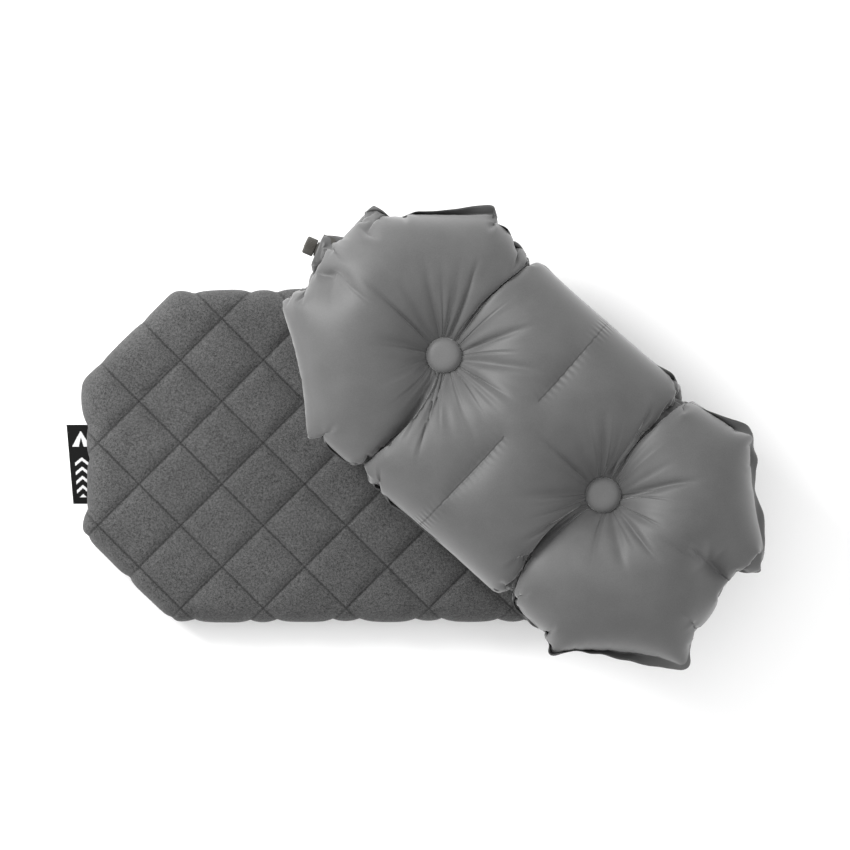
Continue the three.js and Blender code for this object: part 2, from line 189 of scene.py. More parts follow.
def rounded_outline(corners, radius, step):
    """A closed loop of evenly spaced points along a polygon with rounded corners."""
    points = []
    for k, corner in enumerate(corners):
        here = np.array(corner, float)
        back = np.array(corners[k - 1]) - here
        ahead = np.array(corners[(k + 1) % len(corners)]) - here
        back /= np.linalg.norm(back)
        ahead /= np.linalg.norm(ahead)
        half = math.acos(back @ ahead) / 2
        centre = here + (back + ahead) / np.linalg.norm(back + ahead) * radius / math.sin(half)
        start = here + back * radius / math.tan(half) - centre
        end = here + ahead * radius / math.tan(half) - centre
        turn = math.pi - 2 * half
        for share in np.linspace(0, 1, CORNER_POINTS):
            mix = math.sin((1 - share) * turn) * start + math.sin(share * turn) * end
            points.append(centre + mix / math.sin(turn))
    loop = np.vstack([points, points[:1]])
    along = np.concatenate([[0], np.cumsum(np.linalg.norm(np.diff(loop, axis=0), axis=1))])
    count = round(along[-1] / step)
    places = np.arange(count) * along[-1] / count
    return np.stack([np.interp(places, along, loop[:, axis]) for axis in (0, 1)], 1)


def inward(loop):
    """Unit vectors pointing into an anticlockwise loop at each of its points."""
    tangent = np.roll(loop, -1, 0) - np.roll(loop, 1, 0)
    tangent /= np.linalg.norm(tangent, axis=1)[:, None]
    return np.stack([-tangent[:, 1], tangent[:, 0]], 1)


def inset(loop, distance):
    """The loop moved inwards, by one distance or by one for each point."""
    return loop + inward(loop) * np.reshape(distance, (-1, 1))


def inside(loop, points):
    """Which points lie inside a closed loop."""
    result = np.zeros(len(points), bool)
    for (x0, y0), (x1, y1) in zip(loop, np.roll(loop, -1, 0)):
        if y0 != y1:
            crossed = (y0 > points[:, 1]) != (y1 > points[:, 1])
            result ^= crossed & (points[:, 0] < (x1 - x0) * (points[:, 1] - y0) / (y1 - y0) + x0)
    return result


def triangles_within(loop, points, rings):
    """Triangles over the points, bounded by a loop, that keep the edges of each ring of points. The rings
    come first among the points, one after another."""
    count = len(loop)
    kept = [(r * count + k, r * count + (k + 1) % count) for r in range(rings) for k in range(count)]
    made = delaunay_2d_cdt([Vector(p) for p in points], kept, [], 1, 1e-6)
    points = np.array([p[:] for p in made[0]])
    faces = np.array([list(f) for f in made[2]])
    faces = faces[inside(loop, points[faces].mean(1))]
    a, b, c = (points[faces[:, k]] for k in range(3))
    turned = (b - a)[:, 0] * (c - a)[:, 1] - (b - a)[:, 1] * (c - a)[:, 0] < 0
    faces[turned] = faces[turned][:, ::-1]
    return points, faces


def distance_to(loop, points):
    """The distance from each point to the nearest stretch of a closed loop."""
    best = np.full(len(points), np.inf)
    for start, end in zip(loop, np.roll(loop, -1, 0)):
        stretch = end - start
        share = np.clip((points - start) @ stretch / (stretch @ stretch), 0, 1)
        away = points - start - share[:, None] * stretch
        best = np.minimum(best, np.einsum("ij,ij->i", away, away))
    return np.sqrt(best)


def smooth_step(value):
    """A smooth rise from 0 to 1 as the value goes from 0 to 1."""
    share = np.clip(value, 0, 1)
    return share * share * (3 - 2 * share)


def quilt_dip(points):
    """How far the stitching pulls the face down at each point, from 0 on a diamond to 1 on a line."""
    left = 1.0
    for way in ((1, 1), (1, -1)):
        across = (points - cover_centre - QUILT_CROSSING) @ np.array(way) / math.sqrt(2)
        off = np.abs((across / QUILT_SPACING + 0.5) % 1 - 0.5) * 2
        left = left * (1 - (1 - off) ** QUILT_SHARPNESS)
    return 1 - left


def panel_outline():
    """The cover's outline as it lies, drawn in where stitch lines and the label meet the edge, and a little
    wavy. Each of its waves has a height, a number of rounds and a start."""
    corners = octagon_corners(cover_half, COVER_CORNER, COVER_CORNER)
    loop = rounded_outline(corners, OUTLINE_RADIUS, PANEL_STEP) + cover_centre
    turn = np.arange(len(loop)) / len(loop) * 2 * math.pi
    wave = sum(height * np.sin(rounds * turn + start) for height, rounds, start in EDGE_WAVES)
    beside_label = np.exp(-((loop[:, 1] - label_middle) / LABEL_PULL_REACH) ** 4)
    at_left = smooth_step((panel_low[0] + LABEL_PULL_INSIDE - loop[:, 0]) / LABEL_PULL_FADE)
    pull = EDGE_PULL * quilt_dip(loop) - EDGE_PUFF + EDGE_WAVE * wave + LABEL_PULL * beside_label * at_left
    return inset(loop, pull)


outline = panel_outline()


def panel_mesh(distances, rows):
    """A flat mesh over one panel: rings at these distances inside the outline, close together where the edge
    rolls over, then a grid with so many rows to a diamond, whose rows run along the stitch lines."""
    rings = [inset(outline, distance) for distance in distances]
    step = QUILT_SPACING / rows
    reach = np.arange(-QUILT_LINES * rows, QUILT_LINES * rows + 1) * step
    across, along = (axis.ravel() for axis in np.meshgrid(reach, reach))
    grid = np.stack([along + across, along - across], 1) / math.sqrt(2) + cover_centre + QUILT_CROSSING
    grid = grid[np.all(np.abs(grid - cover_centre) < cover_half, axis=1)]
    grid = grid[inside(inset(rings[-1], 0.5 * step), grid)]
    return triangles_within(rings[0], np.vstack([*rings, grid]), len(rings))


def panel_height(points, side, under):
    """The height of one panel's surface, at a depth under its face. side is 1 for the front and -1 for the
    back."""
    level = panel_high[2] if side > 0 else back_low[2]
    opening = MOUTH_OPEN * smooth_step((points[:, 0] - MOUTH_START) / (MOUTH_FULL - MOUTH_START))
    rim = seam_height + side * opening
    roll = np.clip((distance_to(outline, points) - under) / ROLL_RADIUS, 0, 1)
    rise = np.sqrt(1 - (1 - roll) ** 2)
    dip = QUILT_DEPTH * quilt_dip(points) * np.minimum(1, RIM_QUILTING + roll)
    return rim + side * ((abs(level - seam_height) - opening) * rise - dip * rise - under * rise)


# Polyester jersey is knitted from dark and pale fibres mixed before they are spun, and its face is brushed.
# It gives matt salt-and-pepper specks and fainter patches where the wash has faded it. A darker line along
# each row of stitching is painted shadow, standing in for the shade in the stitched valleys. The specks are
# drawn at 0.9 mm, because at their real 0.2 mm they are too fine to show.
GRAIN_SIZE, CLUMP_SIZE, WASH_SIZE = 0.87, 2.4, 45.0
GRAIN_SHARE = 0.65
PILE_DEPTH = 0.6
# Width and strength of the painted shadow along each stitch line.
STITCH_SHADOW_WIDTH, STITCH_SHADOW_SHADE = 2.0, 0.5
knit, knit_shader = new_material("heathered polyester jersey", roughness=0.95, specular_ior_level=0.2,
                                 sheen_weight=0.08, sheen_roughness=0.6)
place = add_node(knit, "TexCoord", {}, {}).outputs["Object"]
grain = add_node(knit, "TexNoise", {}, {"Vector": place, "Scale": 1 / (GRAIN_SIZE * MM), "Detail": 2.0,
                                        "Roughness": 0.7})
clumps = add_node(knit, "TexNoise", {}, {"Vector": place, "Scale": 1 / (CLUMP_SIZE * MM), "Detail": 3.0,
                                         "Roughness": 0.6})
washed = add_node(knit, "TexNoise", {}, {"Vector": place, "Scale": 1 / (WASH_SIZE * MM), "Detail": 2.0})
fibres = add_node(knit, "Math", {"operation": "MULTIPLY_ADD"},
                  {0: grain.outputs["Fac"], 1: GRAIN_SHARE, 2: 0.0})
mixed = add_node(knit, "Math", {"operation": "MULTIPLY_ADD"},
                 {0: clumps.outputs["Fac"], 1: 1 - GRAIN_SHARE, 2: fibres.outputs[0]})
shade = add_node(knit, "ValToRGB", {}, {"Fac": mixed.outputs[0]})
shade.color_ramp.elements[0].position = 0.36
shade.color_ramp.elements[0].color = linear("1b1b1b")
shade.color_ramp.elements[1].position = 0.66
shade.color_ramp.elements[1].color = linear("5a5a5a")
faded = add_node(knit, "MapRange", {}, {"Value": washed.outputs["Fac"], "From Min": 0.35, "From Max": 0.65,
                                        "To Min": 0.93, "To Max": 1.07})
near_line = []
for way in ((1, 1), (1, -1)):
    along = add_node(knit, "VectorMath", {"operation": "DOT_PRODUCT"},
                     {0: place, 1: (way[0] / math.sqrt(2), way[1] / math.sqrt(2), 0)})
    start = float((cover_centre + QUILT_CROSSING) @ np.array(way) / math.sqrt(2))
    shifted = add_node(knit, "Math", {"operation": "SUBTRACT"}, {0: along.outputs["Value"], 1: start * MM})
    near_line.append(add_node(knit, "Math", {"operation": "PINGPONG"},
                              {0: shifted.outputs[0], 1: QUILT_SPACING / 2 * MM}))
nearest = add_node(knit, "Math", {"operation": "MINIMUM"},
                   {0: near_line[0].outputs[0], 1: near_line[1].outputs[0]})
# Painted shadow: the colour darkens towards each stitch line, as if the stitched valley were shaded.
stitch_shadow_and_weld_groove = add_node(knit, "MapRange", {"interpolation_type": "SMOOTHSTEP"},
                   {"Value": nearest.outputs[0], "From Min": 0.0, "From Max": STITCH_SHADOW_WIDTH * MM,
                    "To Min": STITCH_SHADOW_SHADE, "To Max": 1.0})
faded_and_stitch_shadowed = add_node(knit, "Math", {"operation": "MULTIPLY"},
                {0: faded.outputs["Result"], 1: stitch_shadow_and_weld_groove.outputs["Result"]})
tinted = add_node(knit, "VectorMath", {"operation": "SCALE"},
                  {0: shade.outputs["Color"], "Scale": faded_and_stitch_shadowed.outputs[0]})
pile = add_node(knit, "Bump", {}, {"Height": mixed.outputs[0], "Strength": 0.5, "Distance": PILE_DEPTH * MM})
knit.node_tree.links.new(tinted.outputs[0], knit_shader.inputs["Base Color"])
knit.node_tree.links.new(pile.outputs["Normal"], knit_shader.inputs["Normal"])

# Polyester batting is crimped white fibre blown into a loose mat. It looks soft and dull, in small shapeless
# tufts.
FIBRE_TUFT, TUFT_DEPTH = 3.3, 2.0
loft, loft_shader = new_material("white polyester batting", base_color=linear("e9e8e4"), roughness=1.0)
place = add_node(loft, "TexCoord", {}, {}).outputs["Object"]
tufts = add_node(loft, "TexNoise", {}, {"Vector": place, "Scale": 1 / (FIBRE_TUFT * MM), "Detail": 4.0})
fluff = add_node(loft, "Bump", {}, {"Height": tufts.outputs["Fac"], "Strength": 0.8,
                                    "Distance": TUFT_DEPTH * MM})
loft.node_tree.links.new(fluff.outputs["Normal"], loft_shader.inputs["Normal"])


def thicken(piece, thickness):
    """Gives a sheet its cloth's thickness, inwards from its outer face."""
    cloth = piece.modifiers.new("cloth thickness", "SOLIDIFY")
    cloth.thickness = thickness * MM
    cloth.offset = -1


FACE_RINGS = (0, 0.9, 2.2, 4.0, 6.4, 9.2)
FACE_ROWS = 22
LOFT_RINGS = (2.0, 4.5, 8.0)
LOFT_ROWS = 8
LOFT_GAP = 0.3
LINING_THICKNESS = 0.8

# The lining is plain-woven polyester, finished smooth, so it has a faint gloss and a fine even check of
# threads. They are drawn 1 mm wide, because at their real 0.3 mm they are too fine to show.
LINING_THREAD, LINING_RELIEF = 1.0, 0.2
weave, weave_shader = new_material("plain woven polyester lining", base_color=linear("56575b"), roughness=0.8,
                                   sheen_weight=0.15)
place = add_node(weave, "TexCoord", {}, {}).outputs["Object"]
threads = add_node(weave, "TexChecker", {}, {"Vector": place, "Scale": 1 / (LINING_THREAD * MM)})
crossing = add_node(weave, "Bump", {}, {"Height": threads.outputs["Fac"], "Strength": 0.3,
                                        "Distance": LINING_RELIEF * MM})
weave.node_tree.links.new(crossing.outputs["Normal"], weave_shader.inputs["Normal"])


def rim_edges(faces):
    """The edges of a mesh that only one face uses, in that face's direction."""
    sides = np.vstack([faces[:, [0, 1]], faces[:, [1, 2]], faces[:, [2, 0]]])
    _, first, uses = np.unique(np.sort(sides, axis=1), axis=0, return_index=True, return_counts=True)
    return sides[first[uses == 1]]


def closed_pad(name, flat, faces, upper, lower, material):
    """A closed form between two heights over one flat mesh."""
    count = len(flat)
    points = np.vstack([np.column_stack([flat, upper]), np.column_stack([flat, lower])])
    walls = [(b, a, a + count, b + count) for a, b in rim_edges(faces)]
    return mesh_piece(name, points, [*faces, *(faces[:, ::-1] + count), *walls], material)


def edge_strip(name, near, width, low, high, kept, material):
    """A flat closed strip along the kept stretch of the cover's outline. It starts at an inset from the
    outline, and has a width and two heights."""
    run = np.nonzero(kept)[0]
    start = run[np.argmax(np.diff(run, prepend=run[-1] - len(kept)))]
    run = (start + np.arange(len(run))) % len(kept)
    outer, inner = inset(outline, near)[run], inset(outline, near + width)[run]
    count = len(run)
    points = [np.column_stack([rail, np.full(count, z)])
              for rail, z in ((outer, low), (inner, low), (inner, high), (outer, high))]
    faces = [(r * count + k, r * count + k + 1, (r + 1) % 4 * count + k + 1, (r + 1) % 4 * count + k)
             for r in range(4) for k in range(count - 1)]
    ends = [tuple(r * count for r in (0, 3, 2, 1)), tuple(r * count + count - 1 for r in range(4))]
    return mesh_piece(name, np.vstack(points), [face[::-1] for face in (*faces, *ends)], material)


face_flat, face_faces = panel_mesh(FACE_RINGS, FACE_ROWS)
loft_flat, loft_faces = panel_mesh(LOFT_RINGS, LOFT_ROWS)
for side, word in ((1, "front"), (-1, "back")):
    height = panel_height(face_flat, side, 0)
    faces = face_faces if side > 0 else face_faces[:, ::-1]
    face = mesh_piece(f"cover_{word}_quilted_face", np.column_stack([face_flat, height]), faces, knit)
    thicken(face, FACE_THICKNESS)
    pocket_wall = seam_height + side * MOUTH_OPEN
    lining_top = pocket_wall + side * LINING_THICKNESS
    loft_bottom = np.full(len(loft_flat), lining_top + side * LOFT_GAP)
    loft_top = panel_height(loft_flat, side, FACE_THICKNESS + LOFT_GAP)
    loft_top = np.maximum(loft_top * side, (loft_bottom + side * LOFT_GAP) * side) * side
    upper, lower = (loft_top, loft_bottom) if side > 0 else (loft_bottom, loft_top)
    pad = closed_pad(f"cover_{word}_loft", loft_flat, loft_faces, upper, lower, loft)
    level = [np.full(len(loft_flat), z) for z in sorted((pocket_wall, lining_top))]
    lining = closed_pad(f"cover_{word}_pocket_lining", loft_flat, loft_faces, level[1], level[0], weave)
    for piece, part, slot in ((face, "face", "cover_jersey"), (pad, "batting", "batting"),
                              (lining, "lining", "lining")):
        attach(piece, "cover")
        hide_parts(f"cover_{word}_{part}")

# Side seam and mouth hems
# The two panels are joined right sides together along the closed sides, which leaves a seam allowance
# inside. At the open end each panel has its own turned hem.
SEAM_INSET, SEAM_ALLOWANCE = 1.6, 9.0
SEAM_THICKNESS = 1.6
HEM_INSET, HEM_WIDTH = 0.4, 14.0
HEM_THICKNESS = 1.2

closed = outline[:, 0] < MOUTH_START
seam = edge_strip("cover_side_seam_allowance", SEAM_INSET, SEAM_ALLOWANCE, seam_height - SEAM_THICKNESS / 2,
                  seam_height + SEAM_THICKNESS / 2, closed, weave)
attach(seam, "cover")
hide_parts("cover_side_seam")
for side, word in ((1, "front"), (-1, "back")):
    outer = seam_height + side * (MOUTH_OPEN - LOFT_GAP)
    low, high = sorted((outer, outer - side * HEM_THICKNESS))
    hem = edge_strip(f"mouth_hem_{word}_turned", HEM_INSET, HEM_WIDTH, low, high, outline[:, 0] > MOUTH_FULL,
                     knit)
    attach(hem, "cover")
    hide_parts(f"mouth_hem_{word}")

# Quilting stitches
# A lockstitch in dark polyester thread runs along each quilting line. Each stitch sinks into the knit at both
# ends. Twisted thread is uneven and nearly matt: it gives a dotted line with a dull glint. It is drawn 1 mm
# thick and its twist at 1.5 mm, because real thread of 0.3 mm is too fine to show.
STITCH_PITCH = 4.4
STITCH_LENGTH = 3.2
THREAD_RADIUS = 0.5
STITCH_EDGE_GAP = 3.0
STITCH_LIFT = 0.15
STITCHES_EACH_WAY = 120
PLY_PITCH, PLY_RELIEF = 1.5, 0.2

thread, thread_shader = new_material("dark polyester sewing thread", roughness=0.6)
place = add_node(thread, "TexCoord", {}, {}).outputs["Object"]
plies = add_node(thread, "TexNoise", {}, {"Vector": place, "Scale": 1 / (PLY_PITCH * MM)})
tone = add_node(thread, "ValToRGB", {}, {"Fac": plies.outputs["Fac"]})
tone.color_ramp.elements[0].position = 0.35
tone.color_ramp.elements[0].color = linear("121212")
tone.color_ramp.elements[1].position = 0.65
tone.color_ramp.elements[1].color = linear("222222")
twisted = add_node(thread, "Bump", {}, {"Height": plies.outputs["Fac"], "Strength": 0.4,
                                        "Distance": PLY_RELIEF * MM})
thread.node_tree.links.new(tone.outputs["Color"], thread_shader.inputs["Base Color"])
thread.node_tree.links.new(twisted.outputs["Normal"], thread_shader.inputs["Normal"])


def stitch_mesh(name, starts, ends, up):
    """One mesh of stitches, each a closed spindle from its start to its end."""
    way = ends - starts
    way /= np.linalg.norm(way, axis=1)[:, None]
    side = np.cross(way, up)
    middle = (starts + ends) / 2
    girth = [middle + way_out * THREAD_RADIUS for way_out in (up, side, -up, -side)]
    points = np.stack([starts, *girth, ends], 1).reshape(-1, 3)
    spindle = np.array([(0, 1, 4), (0, 4, 3), (0, 3, 2), (0, 2, 1),
                        (5, 4, 1), (5, 3, 4), (5, 2, 3), (5, 1, 2)])
    faces = (np.arange(len(starts))[:, None, None] * 6 + spindle[:, ::-1]).reshape(-1, 3)
    return mesh_piece(name, points, faces, thread)


reach = np.arange(-STITCHES_EACH_WAY, STITCHES_EACH_WAY + 1) * STITCH_PITCH
lines = np.arange(-QUILT_LINES, QUILT_LINES + 1) * QUILT_SPACING
middles, ways = [], []
for way in ((1, 1), (1, -1)):
    along = np.array(way) / math.sqrt(2)
    across = np.array([-along[1], along[0]])
    for line in lines:
        run = cover_centre + QUILT_CROSSING + reach[:, None] * along + line * across
        run = run[np.all(np.abs(run - cover_centre) < cover_half, axis=1)]
        run = run[inside(inset(outline, STITCH_EDGE_GAP), run)]
        middles.append(run)
        ways.append(np.tile(along, (len(run), 1)))
middles, ways = np.vstack(middles), np.vstack(ways)
for side, word in ((1, "front"), (-1, "back")):
    ends = []
    for share in (-0.5, 0.5):
        flat = middles + ways * share * STITCH_LENGTH
        ends.append(np.column_stack([flat, panel_height(flat, side, 0) + side * STITCH_LIFT]))
    up = np.tile([0.0, 0.0, float(side)], (len(middles), 1))
    stitches = stitch_mesh(f"cover_{word}_quilting_stitches", *ends, up)
    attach(stitches, "cover")

# Side label
# A black damask label is folded into the side seam at the closed end. Its satin weave gives a dense, dull
# black and a crisp white, and the pattern's edges are steps of a thread's width. Its ribs are drawn at 3 mm,
# because at their real half millimetre they are too fine to show.
LABEL_REACH = 24.0
LABEL_STEP = 0.5
LABEL_THICKNESS = 0.7
LABEL_CURL = 1.6
LABEL_WAVE, LABEL_WAVE_TURN, LABEL_WAVE_START = 0.5, 5.0, 0.6
LABEL_TUCK = 5.4
LABEL_TILT = 7.3
LABEL_RIB, LABEL_RELIEF = 3.1, 0.1
PATTERN_SHIFT = 0.6
TENT_FOOT, TENT_PEAK, TENT_HALF, TENT_TIP = 60.0, 76.0, 8.5, 0.3
DOOR_PEAK, DOOR_HALF = 70.0, 2.4
ARROWS_START, ARROWS_END, ARROW_HALF = 7.0, 55.0, 7.0
ARROW_PITCH, ARROW_BAR, ARROW_SLOPE = 9.6, 3.4, 0.8

# A wave texture at scale 1 turns through this angle along each metre
WAVE_RATE = 20
black_weave, black_shader = new_material("black damask woven label", base_color=linear("060606"),
                                         roughness=0.7, specular_ior_level=0.15)
white_weave, white_shader = new_material("white woven pattern", base_color=linear("c4c4c4"), roughness=0.6)
for cloth, shader in ((black_weave, black_shader), (white_weave, white_shader)):
    place = add_node(cloth, "TexCoord", {}, {}).outputs["Object"]
    rows = add_node(cloth, "TexWave", {"bands_direction": "Y"},
                    {"Vector": place, "Scale": 2 * math.pi / (WAVE_RATE * LABEL_RIB * MM)})
    ribs = add_node(cloth, "Bump", {}, {"Height": rows.outputs["Fac"], "Strength": 0.4,
                                        "Distance": LABEL_RELIEF * MM})
    cloth.node_tree.links.new(ribs.outputs["Normal"], shader.inputs["Normal"])

label_length = label_high[1] - label_low[1]
columns = round(LABEL_REACH / LABEL_STEP)
rows = round(label_length / LABEL_STEP)


def woven_white(across, along):
    """Whether the label's pattern is white: a tent at one end, then five arrowheads."""
    off = abs(across - LABEL_REACH / 2 + PATTERN_SHIFT)
    tent_half = TENT_HALF * (TENT_PEAK - along) / (TENT_PEAK - TENT_FOOT) + TENT_TIP
    door_half = DOOR_HALF * (DOOR_PEAK - along) / (DOOR_PEAK - TENT_FOOT)
    if TENT_FOOT <= along <= TENT_PEAK and door_half <= off < tent_half:
        return True
    if along < ARROWS_START or off > ARROW_HALF:
        return False
    tip = along + off * ARROW_SLOPE
    return (tip - ARROWS_START) % ARROW_PITCH < ARROW_BAR and tip < ARROWS_END


points, faces = [], []
for j in range(rows + 1):
    for i in range(columns + 1):
        out = i * LABEL_STEP
        along = j * LABEL_STEP
        turn = along / label_length * LABEL_WAVE_TURN + LABEL_WAVE_START
        wave = LABEL_WAVE * math.sin(turn) * out / LABEL_REACH
        tilt = LABEL_TILT * (along / label_length - 0.5) * out / LABEL_REACH
        points.append((label_low[0] + LABEL_TUCK + LABEL_REACH - out - tilt, label_low[1] + along,
                       seam_height + LABEL_CURL * (out / LABEL_REACH) ** 2 + wave))
for j in range(rows):
    for i in range(columns):
        corner = j * (columns + 1) + i
        faces.append((corner, corner + columns + 1, corner + columns + 2, corner + 1))
label = mesh_piece("side_label_woven", np.array(points), faces, black_weave)
label.data.materials.append(white_weave)
for j in range(rows):
    for i in range(columns):
        if woven_white((i + 0.5) * LABEL_STEP, (j + 0.5) * LABEL_STEP):
            label.data.polygons[j * columns + i].material_index = 1
label.data.shade_flat()
thicken(label, LABEL_THICKNESS)
label.modifiers["cloth thickness"].offset = 0
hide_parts("side_label")
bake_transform(label)

# Bladder
# Two sheets of coated polyester are cut to one long octagon, welded together round the edge, and pulled
# together by a strap at each tuft and by two strips across the middle. Air at low pressure stretches them
# tight, and the spare cloth gathers into folds. The sheets are cut flat here and then blown up the same way.
# The flat cut
CUT_LENGTH, CUT_WIDTH = 692.0, 372.0
CUT_CENTRE = np.array([6.0, -7.0])
NEAR_CORNER, FAR_CORNER = (130.0, 106.0), (120.0, 98.0)
CUT_CORNER_RADIUS = 24.0
WELD_WIDTH = 11.0
# The mesh on the cut. The clearances are shares of its step.
CLOTH_STEP = 6.0
CLOTH_SEED = 5
CLOTH_JITTER = 0.12
ROW_CLEARANCE, END_CLEARANCE, RIM_CLEARANCE = 0.6, 0.5, 0.3
ON_LINE, ON_RING = 0.1, 0.3
# The tufts and the strips across the middle
TUFT_CUT = 126.0
GATHER_RADIUS = 26.0
SEAT_RADIUS = 17.5
BAFFLE_HEIGHT = 106.0
BAFFLE_SLACK = 18.0
BAFFLE_SLACK_REACH = 50.0
BAFFLE_LINES = (((-6.0, 26.0), (-5.0, 155.0)), ((-8.0, -26.0), (-14.0, -169.0)))
# The folds from the tufts, and the shorter pinches at the ends
FOLD_START, FOLD_END = 6.0, 5.0
FOLD_HEIGHT, FOLD_SIDE_REACH, FOLD_RIM_REACH = 24.0, 70, 20
PINCH_HEIGHT, PINCH_SIDE_REACH, PINCH_RIM_REACH = 30.0, 26, 17
PINCH_SLOPE = 0.8
FOLD_BEFORE, FOLD_BEYOND = 4, 12
FOLD_CLEARANCE = 0.3
# How stiff the cloth and its weld are against bending, from 0 to 1
CLOTH_BEND = 0.002
WELD_BEND = 0.3
# The valve's sleeve
SLEEVE_HALF = 18.0
SLEEVE_HEIGHT = 9.0
SLEEVE_DEPTH = 26.0
SLEEVE_LENGTH, SLEEVE_SIDE, SLEEVE_MOUTH = 44, 8, 0.6
# The least gaps between the two sheets, and under them
LAYER_GAP = 0.6
COVER_CLEARANCE = 1.5
# How the sheets start and how the air is let in
FIRST_SHRINK, FIRST_GAP = 0.97, 2.0
FIRST_ROUGHNESS, SECOND_ROUGHNESS = 0.5, 0.04
BLOW_STEPS, SETTLE_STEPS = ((900, 350))
BLOW_PUSH, SETTLE_PUSH = 0.02, 0.012
SOFT_START, FIRST_PUSH = 400, 0.05
DRAG = 0.96
ENDS = ("valve_end", "far_end")

buttons = {}
for level in ("top", "bottom"):
    for end in ENDS:
        buttons[level, end] = [np.array(corner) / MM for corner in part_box(f"button_cap_{level}_{end}")]
button_middles = {end: sum(buttons["top", end] + buttons["bottom", end]) / 4 for end in ENDS}
bladder_centre = (button_middles["valve_end"] + button_middles["far_end"]) / 2
long_way = (button_middles["far_end"] - button_middles["valve_end"])[:2]
tuft_place = np.linalg.norm(long_way) / 2
long_way /= 2 * tuft_place
cross_way = np.array([-long_way[1], long_way[0]])
seat_height = buttons["top", "valve_end"][0][2] - bladder_centre[2] - LOFT_GAP
rest_level = panel_high[2] + COVER_CLEARANCE - bladder_centre[2]
twist = next(joint for joint in frame["joints"] if joint["name"] == "valve_twist")
valve_row = np.array(twist["pos_m"]) / MM
valve_place = (valve_row - bladder_centre)[:2] @ np.stack([long_way, cross_way], 1)
valve_way = np.array(twist["axis"])[:2] @ np.stack([long_way, cross_way], 1)
random = np.random.default_rng(CLOTH_SEED)


def to_row(points):
    """Row-frame places of points given along, across and above the bladder's middle."""
    flat = points[:, :1] * long_way + points[:, 1:2] * cross_way
    return np.column_stack([flat, points[:, 2]]) + bladder_centre


cut_half = np.array([CUT_LENGTH, CUT_WIDTH]) / 2
cut_low, cut_high = CUT_CENTRE - cut_half, CUT_CENTRE + cut_half
cut_edge = rounded_outline(octagon_corners(cut_half, NEAR_CORNER, FAR_CORNER), CUT_CORNER_RADIUS, CLOTH_STEP)
cut_edge += CUT_CENTRE
weld_line = inset(cut_edge, WELD_WIDTH)

# Each fold: its inner and outer end on the flat sheet, where those ends lie once it is blown up, how far the
# fold bows sideways, how far from it cloth is held to its own side, and the height of the fold's bottom.
folds = []
for sign, edge, bow, drift, reach in ((-1, 1, 7, 5, 134), (-1, -1, 13, 11, 138), (1, 1, 10, 1, 134),
                                      (1, -1, -17, -3, 138)):
    weld_y = (cut_high[1] if edge > 0 else -cut_low[1]) - WELD_WIDTH - FOLD_END
    cut = ((sign * TUFT_CUT, edge * (GATHER_RADIUS + FOLD_START)), (sign * TUFT_CUT + drift, edge * weld_y))
    lies = ((sign * tuft_place, 0), (sign * tuft_place + drift, edge * reach))
    folds.append(dict(cut=cut, lies=lies, bow=bow, side_reach=FOLD_SIDE_REACH, rim_reach=FOLD_RIM_REACH,
                      bottom=lambda share: seat_height * (1 - share) + FOLD_HEIGHT * np.sin(np.pi * share)))
far_weld, near_weld = cut_high[0] - WELD_WIDTH, cut_low[0] + WELD_WIDTH
for cut, lies in ((((far_weld - 52, 22), (far_weld, 24)), ((228, 21), (258, 20))),
                  (((near_weld + 44, -20), (near_weld, -36)), ((-240, -4), (-267, -27))),
                  (((near_weld + 42, 48), (near_weld, 50)), ((-236, 42), (-261, 41)))):
    folds.append(dict(cut=cut, lies=lies, bow=0, side_reach=PINCH_SIDE_REACH, rim_reach=PINCH_RIM_REACH,
                      bottom=lambda share: PINCH_HEIGHT * (1 - share) ** PINCH_SLOPE))


def along_line(points, start, end):
    """How far each point is along a line, as a share of it, and how far to the left of it."""
    stretch = np.subtract(end, start)
    length = np.linalg.norm(stretch)
    way = stretch / length
    away = points - start
    return away @ way / length, away @ np.array([-way[1], way[0]])


def on_line(share, off):
    """Which points lie on a line, from their share along it and how far off it they are."""
    return (np.abs(off) < ON_LINE) & (share > -0.01) & (share < 1.01)


def sheet_pattern():
    """The flat sheet's mesh, with rows of points along its weld, its tufts, and each baffle and fold line."""
    rows = [cut_edge, inset(cut_edge, WELD_WIDTH / 2), weld_line]
    grid = []
    for k, y in enumerate(np.arange(cut_low[1], cut_high[1], CLOTH_STEP * math.sqrt(3) / 2)):
        x = np.arange(cut_low[0], cut_high[0], CLOTH_STEP) + (k % 2) * CLOTH_STEP / 2
        grid.append(np.stack([x, np.full(len(x), y)], 1))
    grid = np.vstack(grid)
    grid += random.uniform(-CLOTH_JITTER, CLOTH_JITTER, grid.shape) * CLOTH_STEP
    grid = grid[inside(inset(weld_line, ROW_CLEARANCE * CLOTH_STEP), grid)]
    marks = []
    for sign in (-1, 1):
        tuft = np.array([sign * TUFT_CUT, 0])
        turn = np.arange(0, 2 * math.pi, CLOTH_STEP / GATHER_RADIUS)
        marks.append(tuft + GATHER_RADIUS * np.stack([np.cos(turn), np.sin(turn)], 1))
        off = np.abs(np.linalg.norm(grid - tuft, axis=1) - GATHER_RADIUS)
        grid = grid[off > ROW_CLEARANCE * CLOTH_STEP]
    for start, end in [*BAFFLE_LINES, *(fold["cut"] for fold in folds)]:
        length = math.dist(start, end)
        shares = np.linspace(0, 1, round(length / CLOTH_STEP) + 1)[:, None]
        marks.append(start + shares * np.subtract(end, start))
        share, off = along_line(grid, start, end)
        spare = END_CLEARANCE * CLOTH_STEP / length
        grid = grid[(share < -spare) | (share > 1 + spare) | (np.abs(off) > ROW_CLEARANCE * CLOTH_STEP)]
    marks = np.vstack(marks)
    marks = marks[inside(inset(weld_line, RIM_CLEARANCE * CLOTH_STEP), marks)]
    return triangles_within(cut_edge, np.vstack([*rows, marks, grid]), len(rows))


